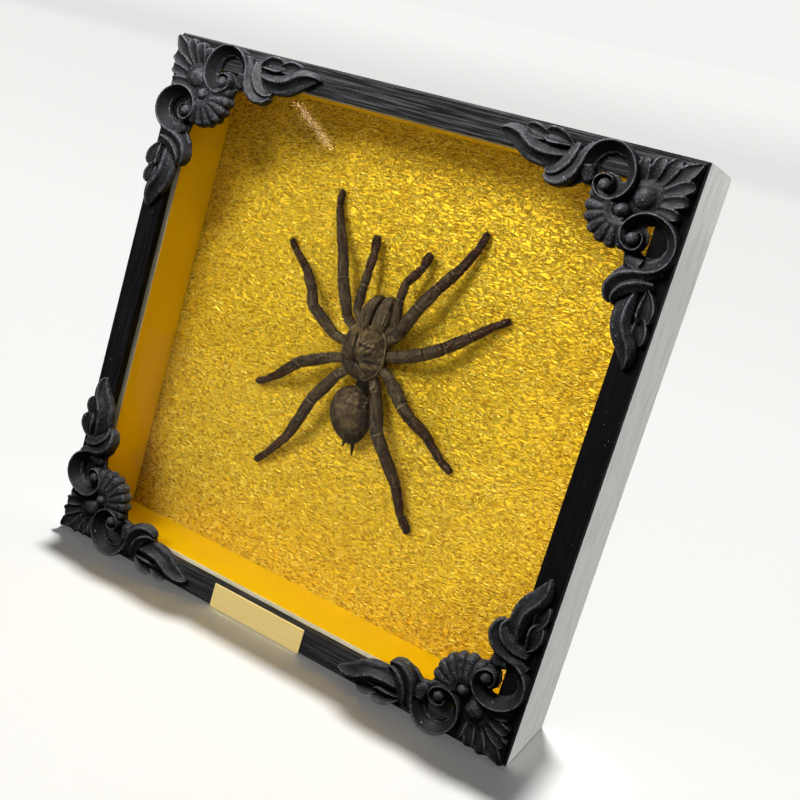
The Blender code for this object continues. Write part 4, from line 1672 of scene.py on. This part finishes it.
    def limb_marks(self, places: np.ndarray) -> dict[str, np.ndarray]:
        """Marks on the legs and the palps, and painted shade on the skin between them.

        Args:
            places: Points, one row each.

        Returns:
            The marks by name.
        """
        count = len(places)
        marks = blank_marks(count)
        best = np.full(count, np.inf)
        for number, limb in enumerate(self.limbs()):
            joints, at = np.array(limb.joints), limb.lengths()
            last = len(joints) - 2
            for index in range(last + 1):
                start, way = joints[index], joints[index + 1] - joints[index]
                size = np.linalg.norm(way)
                way /= size
                run = np.clip((places - start) @ way, 0.0, size)
                off = places - start - run[:, None] * way
                gap = np.linalg.norm(off, axis=1)
                near = gap < best
                best[near] = gap[near]
                across = np.cross(way, (0.0, 0.0, 1.0))
                across /= np.linalg.norm(across)
                strand = np.column_stack([at[index] + run + self.strand_gap * number, off @ across,
                                          off @ np.cross(across, way)])
                ring = self.ring_pale[index] * bell(run, 0.2, 0.32)
                seam = 0.7 * bell(run, 1.0, 0.35) + 0.5 * bell(run, size, 0.4)
                if index == 0:
                    fold = np.cos(run * 2 * math.pi / FOLD_MM + 1.6 * np.sin(off[:, 0] * 2.1 + 2.0 * number))
                    ring = 0.18 + 0.26 * fold * np.cos(run * 1.3 + number)
                for name, value in (("pale", ring), ("dark", seam * (index > 0)), ("flow", way),
                                    ("tint", max(0.0, (index - 1) / (last - 1))), ("strand", strand),
                                    ("length", self.hair_lengths[index])):
                    marks[name][near] = value[near] if np.ndim(value) and len(value) == count else value
        # Skin more than 3.6 mm from every limb's line, the sternum and the pedicel, is painted nearly black:
        # painted shade between the body parts.
        marks["dark"] = np.maximum(marks["dark"], np.clip((best - 3.6) / 1.5, 0.0, 0.9))
        return marks

    def carapace_marks(self, places: np.ndarray) -> dict[str, np.ndarray]:
        """Marks on the carapace: its rim, grooves and tufts, and streaks out from the pit.

        Args:
            places: Points, one row each.

        Returns:
            The marks by name.
        """
        flat = places[:, :2] - np.array(self.carapace_centre[:2])
        share = np.linalg.norm(flat, axis=1) / self.carapace_outline(np.arctan2(flat[:, 0], flat[:, 1]))
        pale, dark = stroke_marks(self.strokes, places)
        pale = np.maximum(pale, 0.55 * bell(share, 0.972, 0.02))
        dark = np.maximum(dark, 0.4 * bell(share, 0.9, 0.05))
        x, y = places[:, 0], places[:, 1]
        u, v, wide, tall = self.disc
        disc = np.exp(-(((x - u) / wide) ** 2 + ((y - v) / tall) ** 2) ** 2)
        start, over = self.head_from
        head = 0.5 / (1.0 + np.exp((start - y) / over))
        from_pit = places[:, :2] - np.array(self.fovea)
        away = np.linalg.norm(from_pit, axis=1)
        strand = np.column_stack([away, 6.0 * np.arctan2(from_pit[:, 0], from_pit[:, 1]), places[:, 2]])
        outward = np.column_stack([from_pit / np.maximum(away, 1e-6)[:, None], np.zeros(len(places))])
        return {"tint": disc + (1.0 - disc) * head, "pale": pale, "dark": dark, "flow": outward,
                "length": np.full(len(places), 0.7), "strand": strand}

    def abdomen_marks(self, places: np.ndarray) -> dict[str, np.ndarray]:
        """Marks on the abdomen: darker flanks and rear, with a few white specks.

        Args:
            places: Points, one row each.

        Returns:
            The marks by name.
        """
        table = smooth_path(self.abdomen, 8)
        x, y = places[:, 0], places[:, 1]
        middle, wide = (np.interp(y, table[:, 0], table[:, i]) for i in (1, 2))
        side = np.clip(np.abs(x - middle) / wide, 0.0, 1.0)
        start, over = self.rear_from
        rear = np.clip((start - y) / over, 0.0, 1.0)
        pale, _ = stroke_marks(self.abdomen_specks, places)
        return {"tint": np.clip(0.95 * side ** 3 + 0.75 * rear, 0.0, 1.0), "pale": pale,
                "dark": np.clip(1.2 * (rear - 0.45), 0.0, 0.85), "length": np.full(len(x), 0.9),
                "flow": np.tile((0.1, -1.0, 0.0), (len(x), 1)), "strand": places}

    def chelicera_marks(self, places: np.ndarray) -> dict[str, np.ndarray]:
        """Marks on the chelicerae: painted shade along the gap between them, and the stripes along them.

        Args:
            places: Points, one row each.

        Returns:
            The marks by name.
        """
        pale, dark = stroke_marks(self.chelicera_strokes, places)
        start, over = self.ends_from
        return {"tint": np.clip((places[:, 1] - start) / over, 0.0, 1.0), "pale": pale, "dark": dark,
                "flow": np.tile((0.0, 1.0, 0.0), (len(places), 1)), "length": np.full(len(places), 0.8),
                "strand": places[:, [1, 0, 2]]}

    def marks(self, places: np.ndarray, owner: np.ndarray) -> dict[str, np.ndarray]:
        """Tint, pale and dark marks, hair length, the hairs' direction and the skin's own coordinates.

        Args:
            places: Points, one row each.
            owner: Body part of each point.

        Returns:
            One array for each mark, "flow" and "strand" with three values a point.
        """
        marks = blank_marks(len(places))
        readers = {BodyPart.LEG: self.limb_marks, BodyPart.CARAPACE: self.carapace_marks,
                   BodyPart.ABDOMEN: self.abdomen_marks, BodyPart.CHELICERA: self.chelicera_marks}
        for part, reader in readers.items():
            own = owner == part.value
            for name, values in reader(places[own]).items():
                marks[name][own] = values
        return marks

    def roots(self, skin: Mesh, owner: np.ndarray, count: int,
              rng: np.random.Generator) -> tuple[np.ndarray, np.ndarray, np.ndarray]:
        """Roots of hairs, scattered over the skin except where it faces the panel.

        Args:
            skin: Skin in face coordinates.
            owner: Body part of each of its vertices.
            count: Number of hairs.
            rng: Source of the random draws.

        Returns:
            Place, outward direction and body part of each root.
        """
        skin.calc_loop_triangles()
        triangles = index_rows(skin.loop_triangles, 3)
        places, normals = vertex_rows(skin)
        a, b, c = (places[triangles[:, i]] for i in range(3))
        cross = np.cross(b - a, c - a)
        area = np.linalg.norm(cross, axis=1) / 2
        facing = cross[:, 2] / np.maximum(2 * area, 1e-9)
        weight = area * (facing > -0.75) * np.array(self.cover)[owner[triangles[:, 0]]]
        chosen = triangles[rng.choice(len(triangles), count, p=weight / weight.sum())]
        mix = rng.dirichlet((1.0, 1.0, 1.0), count)
        root, normal = (sum(mix[:, i, None] * rows[chosen[:, i]] for i in range(3))
                        for rows in (places, normals))
        return root, unit(normal), owner[chosen[:, 0]]

    def hair_mesh(self, skin: Mesh, owner: np.ndarray, coat: HairCoat, rng: np.random.Generator) -> Mesh:
        """Hairs over the skin, each a slender three-sided cone that sags toward it.

        Args:
            skin: Skin in face coordinates.
            owner: Body part of each of its vertices.
            coat: The coat that the hairs make.
            rng: Source of the random draws.

        Returns:
            One mesh of all the hairs.
        """
        count = coat.count
        root, normal, part = self.roots(skin, owner, count, rng)
        marks = self.marks(root, part)
        way = coat.lean * marks["flow"] + (1.0 - coat.lean) * normal
        way += rng.normal(0.0, coat.stray, (count, 3))
        way -= np.minimum((way * normal).sum(axis=1), 0.0)[:, None] * normal * 1.2
        way = unit(way)
        # Hairs are shorter where the skin is dark, painted shade included.
        size = coat.length * marks["length"] * (1.0 - 0.7 * marks["dark"]) * rng.uniform(0.6, 1.35, count)
        side = unit(np.cross(way, normal + rng.normal(0.0, 0.1, (count, 3))))
        rise = np.cross(side, way)

        cone = bmesh.new()
        bmesh.ops.create_cone(cone, segments=3, radius1=1.0, radius2=0.0, depth=1.0, cap_ends=False)
        bmesh.ops.remove_doubles(cone, verts=cone.verts, dist=1e-5)
        cone.verts.index_update()
        across, up, along = np.array([corner.co for corner in cone.verts]).T[:, None, :, None]
        loops = np.array([[corner.index for corner in face.verts] for face in cone.faces])
        per = len(cone.verts)
        cone.free()
        along = along + 0.5
        root, normal, way, side, rise = (rows[:, None, :] for rows in (root, normal, way, side, rise))
        points = root - coat.inset * way + coat.radius * (across * side + up * rise) \
            + size[:, None, None] * (along * way - coat.sag * along ** 2 * normal)
        faces = (loops[None] + per * np.arange(count)[:, None, None]).reshape(-1, 3)
        mesh = bpy.data.meshes.new("hairs")
        mesh.from_pydata(points.reshape(-1, 3).tolist(), [], faces.tolist())
        # Hairs are darker where the skin is dark, painted shade included.
        shade = np.clip(rng.normal(0.38, 0.24, count) + 0.35 * marks["pale"] - 0.3 * marks["tint"]
                        - 0.8 * marks["dark"], 0.0, 1.0)
        set_attribute(mesh, "shade", np.repeat(shade, per))
        set_attribute(mesh, "along", np.tile(along.ravel(), count))
        return mesh

    def build(self) -> None:
        """Make the skin and both coats of hair."""
        skin, owner = self.skin_mesh()
        marks = self.marks(vertex_rows(skin)[0], owner)
        for name in ("tint", "pale", "dark"):
            set_attribute(skin, name, marks[name])
        set_attribute(skin, "strand", marks["strand"] * MM)
        rng = np.random.default_rng(self.hair_seed)
        fur = self.hair_mesh(skin, owner, self.fur, rng)
        bristles = self.hair_mesh(skin, owner, self.bristles, rng)
        stand = to_frame() @ Matrix.Translation((0.0, 0.0, -PANEL_DEPTH))
        for mesh in (skin, fur, bristles):
            mesh.transform(stand)
        hides = [
            DriedHide(Hide.LEG).material(),
            DriedHide(Hide.CARAPACE, (4.5, 0.85, 2.0), 0.7).material(),
            DriedHide(Hide.ABDOMEN, (2.6, 2.6, 2.6), 0.8).material(),
            DriedHide(Hide.CHELICERA, (6.0, 0.75, 0.9)).material(),
        ]
        add_piece("tarantula_skin", skin, hides, ("tarantula",))
        hair = SpiderHair().material()
        add_piece("tarantula_fur", fur, [hair])
        add_piece("tarantula_bristles", bristles, [hair])


# --------------------------------------------------------------------------- studio

@dataclass
class PhotoCamera:
    """The photograph's camera, worked out from the frame's square corners."""

    place: Point = (0.20375, -0.41575, 0.214)
    right: Point = (0.841, 0.466, 0.275)
    up: Point = (-0.326, 0.029, 0.945)
    back: Point = (0.433, -0.884, 0.177)
    image: float = 800.0
    focal: float = 1035.55
    middle: Point = (362.02, 359.78)
    sensor: float = 36.0

    def turn(self) -> Matrix:
        """Rotation from camera to frame."""
        return Matrix((self.right, self.up, self.back)).transposed()

    def point_at(self, pixel: Point, plane_y: float) -> Vector:
        """Where the ray through a pixel meets a plane parallel to the frame's face.

        Args:
            pixel: Pixel across and down in the photograph.
            plane_y: The plane's place along Y, in metres.

        Returns:
            The point.
        """
        ray = self.turn() @ Vector(((pixel[0] - self.middle[0]) / self.focal,
                                    (self.middle[1] - pixel[1]) / self.focal, -1.0))
        start = Vector(self.place)
        return start + ray * ((plane_y - start.y) / ray.y)

    def build(self) -> None:
        """Make the camera and set it as the scene's."""
        data = bpy.data.cameras.new("photo_camera")
        data.sensor_width = self.sensor
        data.lens = self.sensor * self.focal / self.image
        data.shift_x = 0.5 - self.middle[0] / self.image
        data.shift_y = self.middle[1] / self.image - 0.5
        camera = put("photo_camera", data)
        camera.matrix_world = Matrix.Translation(self.place) @ self.turn().to_4x4()
        bpy.context.scene.camera = camera


TARGET: Point = (0.0, -0.01, 0.12)


def from_front(left: float, rise: float, reach: float = 1.15) -> Point:
    """Place in front of the middle of the frame.

    Args:
        left: Degrees to its left.
        rise: Degrees up.
        reach: How far away, in metres.

    Returns:
        The place.
    """
    left, rise = math.radians(left), math.radians(rise)
    flat = reach * math.cos(rise)
    return tuple(Vector(TARGET) + Vector((-flat * math.sin(left), -flat * math.cos(left),
                                          reach * math.sin(rise))))


@dataclass(frozen=True)
class Softbox:
    """One square lamp that faces the middle of the frame, and whether the castings catch its light."""

    name: str
    place: Point
    size: float
    power: float
    on_castings: bool = False


@dataclass
class Studio:
    """White paper sweep and soft lights, placed as the photograph's shadows show."""

    sweep_half: float = 3.0
    sweep_rise: float = 0.55
    front_edge: float = -0.45
    wall_y: float = 1.5
    curve: float = 0.5
    curve_steps: int = 12
    softboxes: tuple[Softbox, ...] = (
        Softbox("key_softbox", from_front(16.0, 30.5), 0.44, 7.8),
        Softbox("right_fill", from_front(-42.0, 26.0), 0.36, 0.65),
        Softbox("side_softbox", (1.2, 0.15, 0.14), 0.25, 10.8),
        Softbox("overhead", (-0.45, -0.05, 0.85), 0.6, 6.0, on_castings=True),
        Softbox("back_fill", (0.0, 0.95, 0.45), 0.4, 5.0),
    )
    corner_lamp: Softbox = Softbox("corner_lamp", (-0.045, -0.25, 0.42), 0.16, 2.2)
    paper_rise: float = math.radians(84.5)
    paper_left: float = 0.06
    paper_soft: float = math.radians(3.0)
    paper_power: float = 2.7
    sky: str = "F6F6F4"
    sky_strength: float = 0.055
    sky_seen: float = 0.97
    streak: tuple[Point, Point] = ((298.0, 104.0), (331.0, 148.0))
    streak_width: float = 0.006
    streak_reach: float = 2.0
    streak_power: float = 0.09
    streak_tan: str = "FFD59B"

    def backdrop(self) -> Thing:
        """Floor and wall of one sheet of paper, with a curve between them."""
        form = bmesh.new()
        profile = [(self.front_edge, 0.0), (self.wall_y - self.curve, 0.0)]
        for step in range(1, self.curve_steps + 1):
            angle = math.pi / 2 * step / self.curve_steps
            profile.append((self.wall_y - self.curve + self.curve * math.sin(angle),
                            self.curve - self.curve * math.cos(angle)))
        profile.append((self.wall_y, self.sweep_rise))
        verts = [form.verts.new((-self.sweep_half, y, z)) for y, z in profile]
        edges = [form.edges.new(pair) for pair in zip(verts, verts[1:])]
        grown = bmesh.ops.extrude_edge_only(form, edges=edges)["geom"]
        bmesh.ops.translate(form, vec=(2 * self.sweep_half, 0.0, 0.0), verts=of_kind(Vert, grown))
        mesh = mesh_of(face_out(form), "backdrop")
        mesh.materials.append(PaperSweep().material())
        mesh.shade_smooth()
        sheet = put("backdrop", mesh)
        sheet.visible_diffuse = False
        sheet.visible_glossy = False
        return sheet

    def light_only(self, lamp: Thing, things: list[Thing], state: str) -> None:
        """Keep a lamp to some things or off them.

        Args:
            lamp: The lamp.
            things: What it is kept to or off, such as the paper.
            state: "INCLUDE" to light nothing else, "EXCLUDE" to light all else.
        """
        lit = bpy.data.collections.new(f"lit_by_{lamp.name}")
        for place, thing in enumerate(things):
            lit.objects.link(thing)
            lit.collection_objects[place].light_linking.link_state = state
        lamp.light_linking.receiver_collection = lit

    def paper_lamp(self) -> Thing:
        """Far lamp almost straight above, a little behind the frame and to its left, for the paper."""
        data = bpy.data.lights.new("paper_lamp", "SUN")
        data.energy = self.paper_power
        data.angle = self.paper_soft
        lamp = put("paper_lamp", data)
        toward = Vector((-self.paper_left, math.cos(self.paper_rise), math.sin(self.paper_rise)))
        lamp.matrix_world = toward.to_track_quat("Z", "Y").to_matrix().to_4x4()
        return lamp

    def lamp(self, name: str, place: Point, size: Point, power: float, target: Vector,
             across: Vector | None = None) -> Thing:
        """Rectangular lamp that faces a point.

        Args:
            name: Its name.
            place: Where it hangs.
            size: Its length and width.
            power: Its power in watts.
            target: The point that it faces.
            across: Direction of its length.

        Returns:
            The lamp.
        """
        data = bpy.data.lights.new(name, "AREA")
        data.shape = "RECTANGLE"
        data.size, data.size_y = size
        data.energy = power
        lamp = put(name, data)
        lamp.visible_camera = False
        back = (Vector(place) - target).normalized()
        side = across if across is not None else Vector((0.0, 0.0, 1.0)).cross(back)
        side = (side - side.dot(back) * back).normalized()
        lamp.matrix_world = Matrix.Translation(place) \
            @ Matrix((side, back.cross(side), back)).transposed().to_4x4()
        return lamp

    def hang(self, softbox: Softbox) -> Thing:
        """Put one softbox into the scene."""
        return self.lamp(softbox.name, softbox.place, (softbox.size,) * 2, softbox.power, Vector(TARGET))

    def streak_lamp(self, camera: PhotoCamera) -> Thing:
        """Thin lamp that the glass mirrors as the photograph's pale streak.

        Args:
            camera: The photograph's camera.

        Returns:
            The lamp.
        """
        glass_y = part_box("glass_pane")[0].y
        mirrored = Vector(camera.place)
        mirrored.y = 2 * glass_y - mirrored.y
        on_glass = [camera.point_at(pixel, glass_y) for pixel in self.streak]
        first, last = (point + self.streak_reach * (point - mirrored) for point in on_glass)
        lamp = self.lamp("streak_lamp", (first + last) / 2, ((last - first).length, self.streak_width),
                         self.streak_power, (on_glass[0] + on_glass[1]) / 2, last - first)
        lamp.data.color = srgb(self.streak_tan)[:3]
        return lamp

    def build(self, camera: PhotoCamera) -> None:
        """Make the backdrop, the lamps and the room.

        Args:
            camera: The photograph's camera.
        """
        sheet = self.backdrop()
        castings = [thing for thing in bpy.data.objects if thing.name.startswith("casting_")]
        plate = bpy.data.objects["bare_name_plate"]
        for softbox in self.softboxes:
            unlit = [sheet] if softbox.on_castings else [sheet, *castings]
            self.light_only(self.hang(softbox), unlit, "EXCLUDE")
        self.light_only(self.streak_lamp(camera), [sheet, *castings], "EXCLUDE")
        self.light_only(self.paper_lamp(), [sheet], "INCLUDE")
        self.light_only(self.hang(self.corner_lamp), [*castings, plate], "INCLUDE")
        bpy.context.scene.world = self.room()
        bpy.context.scene.view_settings.view_transform = "Standard"

    def room(self) -> bpy.types.World:
        """The room round the paper: as pale as it to the eye, but too dim to fill the shadows."""
        world = bpy.data.worlds.new("soft_room")
        world.use_nodes = True
        tree = world.node_tree
        seen = add_node(tree, "ShaderNodeLightPath").outputs["Is Camera Ray"]
        strength = add_node(tree, "ShaderNodeMapRange", {
            "To Min": self.sky_strength, "To Max": self.sky_seen,
        }, {"Value": seen}).outputs["Result"]
        background = tree.nodes["Background"]
        background.inputs["Color"].default_value = srgb(self.sky)
        tree.links.new(strength, background.inputs["Strength"])
        return world


def main() -> None:
    """Build the object, the studio and the camera."""
    logging.basicConfig(level=logging.INFO, format="%(message)s")
    ShadowBox().build()
    CornerCasting().build(CastResin().material())
    Tarantula().build()
    camera = PhotoCamera()
    camera.build()
    Studio().build(camera)
    bpy.context.view_layer.update()


if __name__ == "__main__":
    main()
